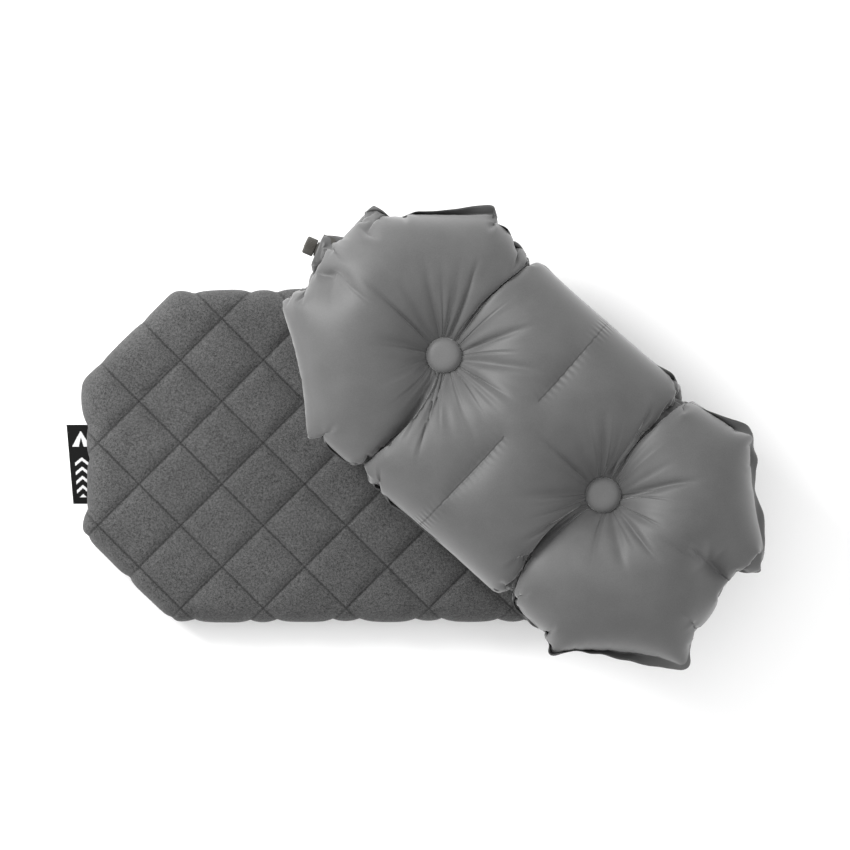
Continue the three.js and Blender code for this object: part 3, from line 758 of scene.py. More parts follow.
def halved(points, faces):
    """The mesh with each triangle cut into four, and the pairs of points that each new point lies between."""
    sides = np.sort(np.vstack([faces[:, [0, 1]], faces[:, [1, 2]], faces[:, [2, 0]]]), axis=1)
    pairs, which = np.unique(sides, axis=0, return_inverse=True)
    ab, bc, ca = which.reshape(3, -1) + len(points)
    a, b, c = faces.T
    parts = [np.stack(corners, 1) for corners in ((a, ab, ca), (b, bc, ab), (c, ca, bc), (ab, bc, ca))]
    return np.vstack([points, points[pairs].mean(1)]), np.vstack(parts), pairs


class WeldedSheets:
    """Two sheets over one flat pattern. They share their points in the weld, except at the valve's sleeve."""

    def __init__(self, points, faces):
        count = len(points)
        air = inside(weld_line, points[faces].mean(1))
        welded = np.zeros(count, bool)
        welded[faces[~air]] = True
        at_valve = np.abs(points[:, 1] - valve_place[1]) < SLEEVE_HALF
        sleeve = welded & at_valve & (points[:, 0] < near_weld + 1)
        self.split = ~welded | sleeve
        self.twin = np.arange(count)
        self.twin[self.split] = count + np.arange(self.split.sum())
        self.count = count + self.split.sum()
        double = ~air & self.split[faces].any(1)
        self.top_faces = np.vstack([faces[air], faces[double]])
        self.bottom_faces = self.twin[self.top_faces][:, ::-1]
        self.weld_faces = faces[~air & ~double]
        self.air_faces = np.vstack([faces[air], self.twin[faces[air]][:, ::-1]])
        self.faces = np.vstack([self.top_faces, self.bottom_faces, self.weld_faces])
        self.flat = np.zeros((self.count, 2))
        self.flat[:count] = points
        self.flat[self.twin] = points
        self.top = np.nonzero(self.split)[0]
        self.bottom = self.twin[self.top]
        self.layer = np.zeros(self.count, int)
        self.layer[self.top] = 1
        self.layer[self.bottom] = -1


def springs(pairs, rest, stiffness, count):
    """Springs in groups, so that no two springs of a group share a point."""
    used = [0] * count
    group = [0] * len(pairs)
    for k, (i, j) in enumerate(pairs.tolist()):
        taken = used[i] | used[j]
        while taken >> group[k] & 1:
            group[k] += 1
        used[i] |= 1 << group[k]
        used[j] |= 1 << group[k]
    stiffness = np.broadcast_to(stiffness, rest.shape)
    members = [np.nonzero(np.array(group) == g)[0] for g in range(max(group) + 1)]
    return [(pairs[m, 0], pairs[m, 1], rest[m], stiffness[m] / 2) for m in members]


def pull(places, groups):
    """Moves each spring's ends towards its rest length."""
    for i, j, rest, share in groups:
        gap = places[j] - places[i]
        length = np.sqrt(np.einsum("ij,ij->i", gap, gap)) + 1e-12
        gap *= ((length - rest) / length * share)[:, None]
        places[i] += gap
        places[j] -= gap


def cloth_springs(cloth):
    """Springs along each edge of the sheets, and weak ones over each edge that resist bending."""
    faces, flat = cloth.faces, cloth.flat
    sides = np.sort(np.vstack([faces[:, [0, 1]], faces[:, [1, 2]], faces[:, [2, 0]]]), axis=1)
    opposite = np.concatenate([faces[:, 2], faces[:, 0], faces[:, 1]])
    edges, which, uses = np.unique(sides, axis=0, return_inverse=True, return_counts=True)
    order = np.argsort(which.reshape(-1), kind="stable")
    first = (np.cumsum(uses) - uses)[uses == 2]
    over = np.stack([opposite[order[first]], opposite[order[first + 1]]], 1)
    length = np.linalg.norm(flat[edges[:, 0]] - flat[edges[:, 1]], axis=1)
    across = np.linalg.norm(flat[over[:, 0]] - flat[over[:, 1]], axis=1)
    over, across = over[across > 1e-3], across[across > 1e-3]
    welded = np.zeros(cloth.count, bool)
    welded[cloth.weld_faces] = True
    bend = np.where(welded[over].all(1), WELD_BEND, CLOTH_BEND)
    return springs(edges, length, 1.0, cloth.count), springs(over, across, bend, cloth.count), length


class Fold:
    """One fold: cloth on each side of it keeps to its own side, its bottom stays down, and the weld at its
    outer end is drawn in."""

    def __init__(self, cloth, line):
        inner, outer = line["cut"]
        share, off = along_line(cloth.flat, inner, outer)
        length = math.dist(inner, outer)
        along = share * length
        beside = (along > -FOLD_BEFORE) & (along < length + FOLD_BEYOND) & (np.abs(off) < line["side_reach"])
        self.beside = np.nonzero(beside & (np.abs(off) > ON_LINE))[0]
        self.side = np.sign(off[self.beside])
        self.over = np.nonzero(on_line(share, off) & (cloth.layer == 1))[0]
        self.under = cloth.twin[self.over]
        self.bottom = line["bottom"](np.clip(share[self.over], 0, 1))
        near_rim = np.linalg.norm(cloth.flat - outer, axis=1) < line["rim_reach"]
        self.rim = np.nonzero((cloth.layer == 0) & near_rim)[0]
        self.inner, self.outer = (np.array(end, float) for end in line["lies"])
        self.way = (self.outer - self.inner) / math.dist(self.outer, self.inner)
        self.normal = np.array([-self.way[1], self.way[0]])
        self.bow = line["bow"]

    def hold(self, places):
        share, off = along_line(places[self.beside, :2], self.inner, self.outer)
        off = (off - self.bow * np.sin(np.pi * np.clip(share, 0, 1))) * self.side
        places[self.beside, :2] += (self.side * np.maximum(FOLD_CLEARANCE - off, 0))[:, None] * self.normal
        places[self.over, 2] = np.minimum(places[self.over, 2], self.bottom)
        places[self.under, 2] = np.maximum(places[self.under, 2], -self.bottom)
        past = np.maximum((places[self.rim, :2] - self.outer) @ self.way, 0)
        places[self.rim, :2] -= past[:, None] * self.way


class Sleeve:
    """The unwelded sleeve that the valve sits in: its mouth is held round the valve, and the cloth just
    inside lies over the valve's boat-shaped base."""

    def __init__(self, cloth):
        across = cloth.flat[:, 1] - valve_place[1]
        loose = cloth.layer != 0
        deep = cloth.flat[:, 0] - cut_low[0]
        near = (deep < SLEEVE_LENGTH) & (np.abs(across) < SLEEVE_HALF + SLEEVE_SIDE)
        mouth = (deep < SLEEVE_MOUTH) & (np.abs(across) < SLEEVE_HALF)
        self.near = np.nonzero(loose & near)[0]
        self.mouth = np.nonzero(loose & mouth)[0]
        self.layer = cloth.layer[self.near]
        self.way = np.array([valve_way[1], -valve_way[0]])
        across = across[self.mouth]
        self.mouth_flat = valve_place + across[:, None] * self.way
        self.mouth_height = cloth.layer[self.mouth] * SLEEVE_HEIGHT * (1 - (across / (SLEEVE_HALF + 1)) ** 2)

    def hold(self, places):
        away = places[self.near, :2] - valve_place
        off = away @ self.way
        over = (away @ valve_way > -SLEEVE_DEPTH) & (np.abs(off) < SLEEVE_HALF)
        bump = np.where(over, SLEEVE_HEIGHT * (1 - (off / SLEEVE_HALF) ** 2), 0)
        height = places[self.near, 2] * self.layer
        places[self.near, 2] = np.maximum(height, bump) * self.layer
        places[self.mouth, :2] = self.mouth_flat
        places[self.mouth, 2] = self.mouth_height


def tuft_seats(cloth):
    """The round of cloth under each button: which points, and where the button gathers them to."""
    seats = []
    for sign in (-1, 1):
        away = cloth.flat - (sign * TUFT_CUT, 0)
        gathered = np.linalg.norm(away, axis=1) < GATHER_RADIUS + ON_RING
        for layer in (-1, 1):
            held = np.nonzero(gathered & (cloth.layer == layer))[0]
            flat = (sign * tuft_place, 0) + away[held] * SEAT_RADIUS / GATHER_RADIUS
            seats.append((held, np.column_stack([flat, np.full(len(held), layer * seat_height)])))
    return seats


def baffle_ties(cloth):
    """The pairs of points that each strip across the middle ties together, and its height at each."""
    ties = []
    for start, end in BAFFLE_LINES:
        share, off = along_line(cloth.flat, start, end)
        top = np.nonzero(on_line(share, off) & (cloth.layer == 1))[0]
        near = np.clip(1 - np.abs(cloth.flat[top, 1] - start[1]) / BAFFLE_SLACK_REACH, 0, 1)
        ties.append((top, cloth.twin[top], BAFFLE_HEIGHT + BAFFLE_SLACK * near ** 2))
    return ties


def blow_up(places, cloth, steps, push, soft_start):
    """Blows the sheets up from these places by air pressing along each face's normal."""
    stretching, bending, length = cloth_springs(cloth)
    seats, ties, sleeve = tuft_seats(cloth), baffle_ties(cloth), Sleeve(cloth)
    pleats = [Fold(cloth, line) for line in folds]
    patch = np.mean(length ** 2) * math.sqrt(3) / 2
    speed = np.zeros_like(places)
    a, b, c = cloth.air_faces.T
    for step in range(steps):
        if step % 2 == 0:
            # Half of each cross product is its face's area, and each corner carries a third of the push
            out = np.repeat(np.cross(places[b] - places[a], places[c] - places[a]) / 6, 3, axis=0)
            wind = [np.bincount(cloth.air_faces.ravel(), out[:, axis], cloth.count) for axis in range(3)]
            wind = np.stack(wind, 1) * push / patch * min(1.0, FIRST_PUSH + step / soft_start)
        speed += wind
        new = places + speed
        pull(new, stretching)
        pull(new, bending)
        pull(new, stretching)
        for held, seat in seats:
            new[held] = seat
        for top, bottom, height in ties:
            gap = new[top] - new[bottom]
            size = np.linalg.norm(gap, axis=1)
            gap *= (np.maximum(size - height, 0) / size / 2)[:, None]
            new[top] -= gap
            new[bottom] += gap
        for pleat in pleats:
            pleat.hold(new)
        sleeve.hold(new)
        new[cloth.top, 2] = np.maximum(new[cloth.top, 2], new[cloth.bottom, 2] + LAYER_GAP)
        new[:, 2] = np.maximum(new[:, 2], rest_level)
        speed = (new - places) * DRAG
        places = new
    return places


def blown_bladder():
    """The blown-up sheets: first on a coarse mesh, then settled on one twice as fine."""
    flat, faces = sheet_pattern()
    coarse = WeldedSheets(flat, faces)
    height = coarse.layer * FIRST_GAP + random.normal(0, FIRST_ROUGHNESS, coarse.count)
    places = np.column_stack([coarse.flat * FIRST_SHRINK, height])
    places = blow_up(places, coarse, BLOW_STEPS, BLOW_PUSH, SOFT_START)
    fine_flat, fine_faces, pairs = halved(flat, faces)
    fine = WeldedSheets(fine_flat, fine_faces)
    new = np.zeros((fine.count, 3))
    for sheet, owner in ((coarse.twin, fine.twin), (np.arange(len(flat)), np.arange(len(fine_flat)))):
        here = places[sheet]
        new[owner] = np.vstack([here, here[pairs].mean(1)])
    new += random.normal(0, SECOND_ROUGHNESS, new.shape)
    return blow_up(new, fine, SETTLE_STEPS, SETTLE_PUSH, 1), fine


# Coated polyester of the bladder
# The sheets are plain-woven polyester coated inside with polyurethane, calendered smooth. It gives a soft
# satin sheen, faint crossing threads and small tension creases. The weave is drawn at 1.2 mm to show at all.
# Each baffle's weld shows as a darker pressed line with small puckers along it, and each tuft draws sharp
# creases out of the cloth.
WEAVE_PITCH, WEAVE_RELIEF = 1.2, 0.1
SPECK_SIZE, BLOTCH_SIZE, RIPPLE_SIZE = 1.1, 33.0, 26.0
SPECK_SHARE = 0.45
RIPPLE_DEPTH = 2.0
WELD_LINE_HALF, WELD_LINE_SHADE, WELD_LINE_DEPTH = 1.4, 0.55, 2.0
PUCKER_PITCH, PUCKER_REACH, PUCKER_DEPTH = 7.0, 12.0, 0.6
CREASE_RATE, CREASE_WIDTH = 2.6, 0.035
CREASE_REACH, CREASE_DEPTH = 105.0, 2.2
cloth_stuff, cloth_shader = new_material("grey polyurethane coated polyester", roughness=0.52,
                                         specular_ior_level=0.35, sheen_weight=0.35, sheen_roughness=0.45)


def weld_line_look(material, cut, start, end, shade, normal):
    """Adds one baffle's pressed weld line to a cloth's colour and normal. The line darkens and sinks, and
    puckers run out from it and fade."""
    way = Vector(end) - Vector(start)
    away = add_node(material, "VectorMath", {"operation": "SUBTRACT"},
                    {0: cut, 1: (*(Vector(start) * MM), 0)})
    along = add_node(material, "VectorMath", {"operation": "DOT_PRODUCT"},
                     {0: away.outputs[0], 1: (*(way / way.length_squared / MM), 0)})
    off = add_node(material, "VectorMath", {"operation": "DOT_PRODUCT"},
                   {0: away.outputs[0], 1: (-way.y / way.length, way.x / way.length, 0)})
    off = add_node(material, "Math", {"operation": "ABSOLUTE"}, {0: off.outputs["Value"]})
    middle = add_node(material, "Math", {"operation": "SUBTRACT"}, {0: along.outputs["Value"], 1: 0.5})
    middle = add_node(material, "Math", {"operation": "ABSOLUTE"}, {0: middle.outputs[0]})
    on = add_node(material, "Math", {"operation": "LESS_THAN"}, {0: middle.outputs[0], 1: 0.5})
    line = add_node(material, "MapRange", {}, {"Value": off.outputs[0], "From Max": WELD_LINE_HALF * MM,
                                               "To Min": 1.0, "To Max": 0.0})
    line = add_node(material, "Math", {"operation": "MULTIPLY"},
                    {0: line.outputs["Result"], 1: on.outputs[0]})
    dim = add_node(material, "MapRange", {}, {"Value": line.outputs[0], "To Min": 1.0,
                                              "To Max": WELD_LINE_SHADE})
    shaded = add_node(material, "VectorMath", {"operation": "SCALE"},
                      {0: shade, "Scale": dim.outputs["Result"]})
    turns = add_node(material, "Math", {"operation": "MULTIPLY"},
                     {0: along.outputs["Value"], 1: 2 * math.pi * way.length / PUCKER_PITCH})
    puckers = add_node(material, "Math", {"operation": "SINE"}, {0: turns.outputs[0]})
    fade = add_node(material, "MapRange", {}, {"Value": off.outputs[0], "From Max": PUCKER_REACH * MM,
                                               "To Min": 1.0, "To Max": 0.0})
    fade = add_node(material, "Math", {"operation": "MULTIPLY"},
                    {0: fade.outputs["Result"], 1: on.outputs[0]})
    puckers = add_node(material, "Math", {"operation": "MULTIPLY"},
                       {0: puckers.outputs[0], 1: fade.outputs[0]})
    groove = add_node(material, "Math", {"operation": "MULTIPLY_ADD"},
                      {0: line.outputs[0], 1: -WELD_LINE_DEPTH, 2: puckers.outputs[0]})
    stitch_shadow_and_weld_groove = add_node(material, "Bump", {}, {"Height": groove.outputs[0], "Strength": 0.5,
                                              "Distance": PUCKER_DEPTH * MM, "Normal": normal})
    return shaded.outputs[0], stitch_shadow_and_weld_groove.outputs["Normal"]


def tuft_crease_look(material, cut, sign, normal):
    """Adds the sharp creases that run out from one tuft to a cloth's normal."""
    away = add_node(material, "VectorMath", {"operation": "SUBTRACT"},
                    {0: cut, 1: (sign * TUFT_CUT * MM, 0, 0)})
    ray = add_node(material, "VectorMath", {"operation": "NORMALIZE"}, {0: away.outputs[0]})
    spread = add_node(material, "TexNoise", {"noise_dimensions": "4D"},
                      {"Vector": ray.outputs[0], "W": 3.0 + sign, "Scale": CREASE_RATE, "Detail": 1.0})
    gap = add_node(material, "Math", {"operation": "SUBTRACT"}, {0: spread.outputs["Fac"], 1: 0.5})
    gap = add_node(material, "Math", {"operation": "ABSOLUTE"}, {0: gap.outputs[0]})
    crease = add_node(material, "MapRange", {"interpolation_type": "SMOOTHSTEP"},
                      {"Value": gap.outputs[0], "From Max": CREASE_WIDTH, "To Min": -1.0, "To Max": 0.0})
    reach = add_node(material, "VectorMath", {"operation": "LENGTH"}, {0: away.outputs[0]})
    fade = add_node(material, "MapRange", {"interpolation_type": "SMOOTHSTEP"},
                    {"Value": reach.outputs["Value"], "From Min": GATHER_RADIUS * MM,
                     "From Max": CREASE_REACH * MM, "To Min": 1.0, "To Max": 0.0})
    depth = add_node(material, "Math", {"operation": "MULTIPLY"},
                     {0: crease.outputs["Result"], 1: fade.outputs["Result"]})
    drawn = add_node(material, "Bump", {}, {"Height": depth.outputs[0], "Strength": 0.7,
                                            "Distance": CREASE_DEPTH * MM, "Normal": normal})
    return drawn.outputs["Normal"]


def cloth_look(material, shader, light, dark):
    """The woven cloth's colour, threads, weld lines and creases, laid out along the flat sheet's own
    directions."""
    cut = add_node(material, "UVMap", {"uv_map": "cut"}, {}).outputs["UV"]
    body = add_node(material, "TexCoord", {}, {}).outputs["Object"]
    blotches = add_node(material, "TexNoise", {},
                        {"Vector": body, "Scale": 1 / (BLOTCH_SIZE * MM), "Detail": 3.0})
    specks = add_node(material, "TexNoise", {},
                      {"Vector": body, "Scale": 1 / (SPECK_SIZE * MM), "Detail": 1.0})
    mix = add_node(material, "Math", {"operation": "MULTIPLY_ADD"},
                   {0: specks.outputs["Fac"], 1: SPECK_SHARE, 2: 0.0})
    mix = add_node(material, "Math", {"operation": "MULTIPLY_ADD"},
                   {0: blotches.outputs["Fac"], 1: 1 - SPECK_SHARE, 2: mix.outputs[0]})
    tone = add_node(material, "ValToRGB", {}, {"Fac": mix.outputs[0]})
    tone.color_ramp.elements[0].position = 0.3
    tone.color_ramp.elements[0].color = linear(dark)
    tone.color_ramp.elements[1].position = 0.7
    tone.color_ramp.elements[1].color = linear(light)
    scale = 2 * math.pi / (WAVE_RATE * WEAVE_PITCH * MM)
    warp = add_node(material, "TexWave", {"bands_direction": "X"}, {"Vector": cut, "Scale": scale})
    weft = add_node(material, "TexWave", {"bands_direction": "Y"}, {"Vector": cut, "Scale": scale})
    cross = add_node(material, "Math", {"operation": "MULTIPLY"},
                     {0: warp.outputs["Fac"], 1: weft.outputs["Fac"]})
    threads = add_node(material, "Bump", {}, {"Height": cross.outputs[0], "Strength": 0.12,
                                              "Distance": WEAVE_RELIEF * MM})
    shade, normal = tone.outputs["Color"], threads.outputs["Normal"]
    for start, end in BAFFLE_LINES:
        shade, normal = weld_line_look(material, cut, start, end, shade, normal)
    ripples = add_node(material, "TexNoise", {"noise_type": "RIDGED_MULTIFRACTAL"},
                       {"Vector": body, "Scale": 1 / (RIPPLE_SIZE * MM), "Detail": 3.0, "Roughness": 0.4})
    tension = add_node(material, "Bump", {}, {"Height": ripples.outputs["Fac"], "Strength": 0.08,
                                              "Distance": RIPPLE_DEPTH * MM, "Normal": normal})
    normal = tension.outputs["Normal"]
    for sign in (-1, 1):
        normal = tuft_crease_look(material, cut, sign, normal)
    gloss = add_node(material, "MapRange", {},
                     {"Value": blotches.outputs["Fac"], "To Min": 0.46, "To Max": 0.6})
    material.node_tree.links.new(shade, shader.inputs["Base Color"])
    material.node_tree.links.new(normal, shader.inputs["Normal"])
    material.node_tree.links.new(gloss.outputs["Result"], shader.inputs["Roughness"])


cloth_look(cloth_stuff, cloth_shader, "525252", "474747")

# Where the heat of the weld has pressed the two coated sheets into one, the cloth is a little darker and has
# lost its sheen.
weld_stuff, weld_shader = new_material("heat welded double polyester", roughness=0.5, specular_ior_level=0.3)
cloth_look(weld_stuff, weld_shader, "4a4a4a", "424242")

SHEET_THICKNESS = 0.3
WELD_OFFSET = 0.45
SMOOTHING = 0.35
WELD_SMOOTHING, WELD_PASSES, SAME_DEPTH = 0.5, 5, 0.6


def vertex_normals(points, faces):
    """Unit normals at the points, weighted by the area of the faces round them."""
    cross = np.cross(points[faces[:, 1]] - points[faces[:, 0]], points[faces[:, 2]] - points[faces[:, 0]])
    total = np.stack([np.bincount(faces.ravel(), np.repeat(cross[:, axis], 3), len(points))
                      for axis in range(3)], 1)
    return total / np.maximum(np.linalg.norm(total, axis=1), 1e-12)[:, None]


def lay_uv(piece, flat, name):
    """Gives a piece the flat cut as its UV map, in metres."""
    corners = np.empty(len(piece.data.loops), int)
    piece.data.loops.foreach_get("vertex_index", corners)
    layer = piece.data.uv_layers.new(name=name)
    layer.data.foreach_set("uv", (flat[corners] * MM).ravel())


def neighbour_mean(places, pairs):
    """The middle of each point's neighbours along these pairs, and how many neighbours it has."""
    count = np.bincount(pairs.ravel(), minlength=len(places))
    total = np.stack([np.bincount(pairs.ravel(), places[pairs[:, ::-1].ravel(), axis], len(places))
                      for axis in range(3)], 1)
    return total / np.maximum(count, 1)[:, None], count


blown, blown_sheets = blown_bladder()
for word, layer_faces, up in (("top", blown_sheets.top_faces, 1),
                              ("bottom", blown_sheets.bottom_faces, -1)):
    weld = blown_sheets.weld_faces if up > 0 else blown_sheets.weld_faces[:, ::-1]
    faces = np.vstack([layer_faces, weld])
    used, faces = np.unique(faces, return_inverse=True)
    faces = faces.reshape(-1, 3)
    places, flat = blown[used].copy(), blown_sheets.flat[used]
    welded = np.zeros(len(used), bool)
    welded[np.unique(faces[len(layer_faces):])] = True
    edges = np.vstack([faces[:, [0, 1]], faces[:, [1, 2]], faces[:, [2, 0]]])
    mean, _ = neighbour_mean(places, edges)
    places[~welded] += (mean - places)[~welded] * SMOOTHING
    depth = distance_to(cut_edge, flat)
    level = np.abs(np.diff(depth[edges], axis=1)[:, 0]) < SAME_DEPTH
    along = edges[welded[edges].all(1) & level]
    for _ in range(WELD_PASSES):
        mean, beside = neighbour_mean(places, along)
        places[beside > 1] += (mean - places)[beside > 1] * WELD_SMOOTHING
    places += vertex_normals(places, faces) * np.where(welded, WELD_OFFSET, 0)[:, None]
    sheet = mesh_piece(f"bladder_{word}_blown_sheet", to_row(places), faces, cloth_stuff)
    sheet.data.materials.append(weld_stuff)
    in_weld = np.arange(len(faces)) >= len(layer_faces)
    sheet.data.polygons.foreach_set("material_index", in_weld.astype(np.int32))
    lay_uv(sheet, flat, "cut")
    thicken(sheet, SHEET_THICKNESS)
    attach(sheet, "bladder")
    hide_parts(f"bladder_{word}_sheet")

# Ties inside the bladder
# At each tuft a strap joins the two buttons; across the middle two strips hold the sheets to an even height.
# All are flat polyester webbing, woven with ribs across, which gives a matt dark grey with even shadows. The
# ribs are drawn at 5 mm, three times their real size, to show at all. All are welded on, and out of sight.
WEBBING_RIB, WEBBING_RELIEF = 5.0, 0.3
webbing, webbing_shader = new_material("flat woven polyester webbing", base_color=linear("3c3c3e"),
                                       roughness=0.85)
place = add_node(webbing, "TexCoord", {}, {}).outputs["Object"]
ribs = add_node(webbing, "TexWave", {"bands_direction": "Z"},
                {"Vector": place, "Scale": 2 * math.pi / (WAVE_RATE * WEBBING_RIB * MM)})
ribbed = add_node(webbing, "Bump", {}, {"Height": ribs.outputs["Fac"], "Strength": 0.4,
                                        "Distance": WEBBING_RELIEF * MM})
webbing.node_tree.links.new(ribbed.outputs["Normal"], webbing_shader.inputs["Normal"])
STRIP_GAP = 0.6
STRIP_ROWS = 12


def finish_node(name, material):
    """Gives one carried-over CAD piece its material."""
    materials = frame["nodes"][name].data.materials
    materials.clear()
    materials.append(material)


for (top, bottom, _), word in zip(baffle_ties(blown_sheets), ("right", "left")):
    order = np.argsort(blown_sheets.flat[top, 1])
    high, low = blown[top[order]] - (0, 0, STRIP_GAP), blown[bottom[order]] + (0, 0, STRIP_GAP)
    shares = np.linspace(0, 1, STRIP_ROWS + 1)[:, None, None]
    points = (low + (high - low) * shares).reshape(-1, 3)
    count = len(order)
    faces = [(r * count + k, r * count + k + 1, (r + 1) * count + k + 1, (r + 1) * count + k)
             for r in range(STRIP_ROWS) for k in range(count - 1)]
    strip = mesh_piece(f"bladder_baffle_strip_{word}", to_row(points), faces, webbing)
    thicken(strip, SHEET_THICKNESS)
    strip.modifiers["cloth thickness"].offset = 0
    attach(strip, "bladder")
    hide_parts(f"baffle_{word}")
for end in ENDS:
    finish_node(f"tuft_tie_{end}", webbing)

# Button tufts
# Each button is a moulded nylon core under a disc of the same coated cloth, which is gathered tight over the
# rim, so it shows small pleats there. The cloth over the dome is painted a little paler than on the sheets:
# painted light on the buttons' lit tops. Nylon from a spark-eroded mould is milky, with an even grain that
# blurs its gloss. The grain is drawn at 0.7 mm, because the real one is too fine to show.
BUTTON_RINGS = 14
BUTTON_STEPS = 96
BUTTON_PLEATS = 22
PLEAT_DEPTH = 0.35
PLEAT_EDGE = 8
PLEAT_SWAY = 1.3
DOME_SHAPE = 10 / 3
BUTTON_FLOOR = ((0.93, -0.02), (0.6, -0.02))
lit_button_cloth, lit_button_shader = new_material("grey coated polyester over buttons painted lighter", roughness=0.55,
                                           specular_ior_level=0.35, sheen_weight=0.35, sheen_roughness=0.45)
# The button cloth is a paler copy of the sheet cloth: painted light for the lit button tops.
cloth_look(lit_button_cloth, lit_button_shader, "636363", "595959")
NYLON_GRAIN, NYLON_RELIEF = 0.67, 0.2
nylon, nylon_shader = new_material("natural moulded nylon", base_color=linear("d8d8d4"), roughness=0.45,
                                   subsurface_weight=0.1, subsurface_radius=(0.004, 0.004, 0.003))
place = add_node(nylon, "TexCoord", {}, {}).outputs["Object"]
sparks = add_node(nylon, "TexNoise", {}, {"Vector": place, "Scale": 1 / (NYLON_GRAIN * MM)})
eroded = add_node(nylon, "Bump", {}, {"Height": sparks.outputs["Fac"], "Strength": 0.2,
                                      "Distance": NYLON_RELIEF * MM})
nylon.node_tree.links.new(eroded.outputs["Normal"], nylon_shader.inputs["Normal"])

for (level, end), (low, high) in buttons.items():
    up = 1 if level == "top" else -1
    base = low[2] if up > 0 else high[2]
    crown = high[2] - low[2]
    radius = (high[0] - low[0]) / 2
    middle = (low + high) / 2
    profile = [(math.sin(t), math.cos(t)) for t in np.linspace(0, math.pi / 2, BUTTON_RINGS)]
    profile += BUTTON_FLOOR
    points, flat = [(middle[0], middle[1], base + up * crown)], [(0, 0)]
    for out, rise in profile[1:]:
        for turn in np.arange(BUTTON_STEPS) / BUTTON_STEPS * 2 * math.pi:
            gather = 0.5 + 0.5 * math.sin(BUTTON_PLEATS * turn + PLEAT_SWAY * math.sin(3 * turn))
            pleat = PLEAT_DEPTH * out ** PLEAT_EDGE * gather
            height = crown * math.sqrt(max(1 - out ** DOME_SHAPE, 0)) if rise > 0 else 0
            reach = radius * out - pleat
            spot = (reach * math.cos(turn), reach * math.sin(turn))
            points.append((middle[0] + spot[0], middle[1] + spot[1], base + up * max(height, 0.02)))
            flat.append(spot)
    faces = [(0, 1 + k, 1 + (k + 1) % BUTTON_STEPS) for k in range(BUTTON_STEPS)]
    for ring in range(len(profile) - 2):
        inner, outer = 1 + ring * BUTTON_STEPS, 1 + (ring + 1) * BUTTON_STEPS
        for k in range(BUTTON_STEPS):
            after = (k + 1) % BUTTON_STEPS
            faces.append((inner + k, outer + k, outer + after, inner + after))
    faces.append(tuple(reversed([len(points) - BUTTON_STEPS + k for k in range(BUTTON_STEPS)])))
    faces = faces if up > 0 else [face[::-1] for face in faces]
    button = mesh_piece(f"covered_button_{level}_{end}", points, faces, lit_button_cloth)
    lay_uv(button, np.array(flat), "cut")
    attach(button, "bladder")
    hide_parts(f"button_cap_{level}_{end}")
    finish_node(f"button_core_{level}_{end}", nylon)

# Twist valve
# The valve's base and its ribbed knob are moulded in olive grey ABS. The base sits in the sleeve, and the
# knob turns on the base's stem and opens the seal. ABS from an eroded mould has a satin gloss, broken by fine
# grain. The seals are black nitrile rubber, moulded, dull with a patchy bloom. The grain is drawn about ten
# times as coarse as the real one, which is too fine to show.
ABS_GRAIN, ABS_RELIEF, RUBBER_BLOOM = 0.55, 0.1, 1.7
abs_plastic, abs_shader = new_material("olive grey moulded ABS", base_color=linear("383632"), roughness=0.42)
place = add_node(abs_plastic, "TexCoord", {}, {}).outputs["Object"]
sparks = add_node(abs_plastic, "TexNoise", {},
                  {"Vector": place, "Scale": 1 / (ABS_GRAIN * MM), "Detail": 2.0})
eroded = add_node(abs_plastic, "Bump", {}, {"Height": sparks.outputs["Fac"], "Strength": 0.25,
                                            "Distance": ABS_RELIEF * MM})
abs_plastic.node_tree.links.new(eroded.outputs["Normal"], abs_shader.inputs["Normal"])
dusty = add_node(abs_plastic, "MapRange", {}, {"Value": sparks.outputs["Fac"], "To Min": 0.36, "To Max": 0.5})
abs_plastic.node_tree.links.new(dusty.outputs["Result"], abs_shader.inputs["Roughness"])
rubber, rubber_shader = new_material("black nitrile rubber", base_color=linear("101010"), roughness=0.6)
place = add_node(rubber, "TexCoord", {}, {}).outputs["Object"]
bloom = add_node(rubber, "TexNoise", {}, {"Vector": place, "Scale": 1 / (RUBBER_BLOOM * MM)})
dull = add_node(rubber, "MapRange", {}, {"Value": bloom.outputs["Fac"], "To Min": 0.5, "To Max": 0.75})
rubber.node_tree.links.new(dull.outputs["Result"], rubber_shader.inputs["Roughness"])
for name, material in (("valve_base", abs_plastic), ("valve_plunger", nylon), ("valve_stop_ring", rubber),
                       ("valve_o_ring", rubber)):
    finish_node(name, material)

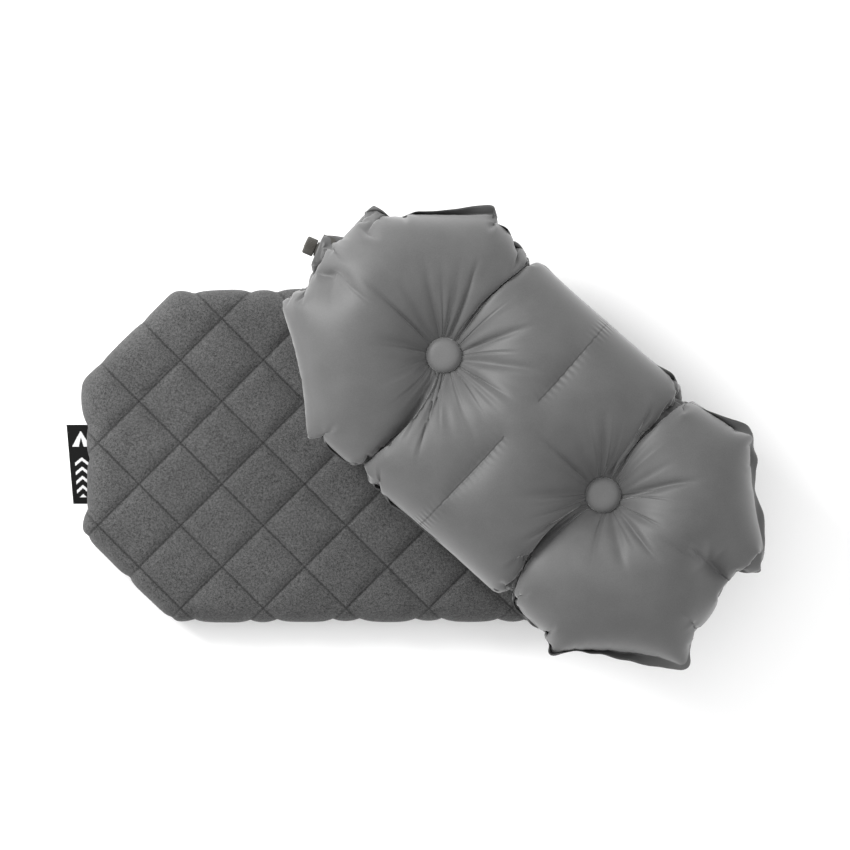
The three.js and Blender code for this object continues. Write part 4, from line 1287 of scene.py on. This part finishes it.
KNOB_START, KNOB_END = 1.8, 13.3
KNOB_RADIUS = 9.2
KNOB_BORE, KNOB_NECK = 7.1, 5.3
KNOB_WALL = 2.2
KNOB_LIP = 2.0
KNOB_RIBS = 36
RIB_DEPTH, GRIP_EDGE = 0.55, 0.5
SHARP_EDGE = 35
KNOB_STEPS = 6 * KNOB_RIBS
AIR_HOLE = 1.7
DISH_RADIUS, DISH_FLOOR, DISH_DEPTH = 4.6, 4.2, 0.5
KNOB_PROFILE = (
    (KNOB_NECK, KNOB_START), (KNOB_RADIUS - 0.9, KNOB_START), (KNOB_RADIUS - 0.25, KNOB_START + 0.3),
    (KNOB_RADIUS, KNOB_START + 1.0), (KNOB_RADIUS, KNOB_END - 1.6), (KNOB_RADIUS - 0.4, KNOB_END - 0.7),
    (KNOB_RADIUS - 1.2, KNOB_END - 0.15), (KNOB_RADIUS - 2.0, KNOB_END), (DISH_RADIUS, KNOB_END),
    (DISH_FLOOR, KNOB_END - DISH_DEPTH), (AIR_HOLE, KNOB_END - DISH_DEPTH), (AIR_HOLE, KNOB_END - KNOB_WALL),
    (KNOB_BORE, KNOB_END - KNOB_WALL), (KNOB_BORE, KNOB_START + KNOB_LIP), (KNOB_NECK, KNOB_START + KNOB_LIP))

knob_way = np.array([*np.array(twist["axis"])[:2], 0.0])
knob_side = np.array([-knob_way[1], knob_way[0], 0.0])
points = []
for radius, place in KNOB_PROFILE:
    on_grip = radius > KNOB_RADIUS - GRIP_EDGE
    for turn in np.arange(KNOB_STEPS) / KNOB_STEPS * 2 * math.pi:
        rib = RIB_DEPTH * (0.5 - 0.5 * math.cos(KNOB_RIBS * turn)) ** 2 if on_grip else 0
        spoke = knob_side * math.cos(turn) + np.array([0, 0, 1]) * math.sin(turn)
        points.append(valve_row + knob_way * place + spoke * (radius - rib))
rings = len(KNOB_PROFILE)
faces = []
for ring in range(rings):
    for k in range(KNOB_STEPS):
        here, after = ring * KNOB_STEPS, (ring + 1) % rings * KNOB_STEPS
        following = (k + 1) % KNOB_STEPS
        faces.append((here + k, here + following, after + following, after + k))
knob = mesh_piece("valve_grip_knob", points, faces, abs_plastic)
knob.data.set_sharp_from_angle(angle=math.radians(SHARP_EDGE))
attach(knob, "valve_knob")
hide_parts("valve_knob")
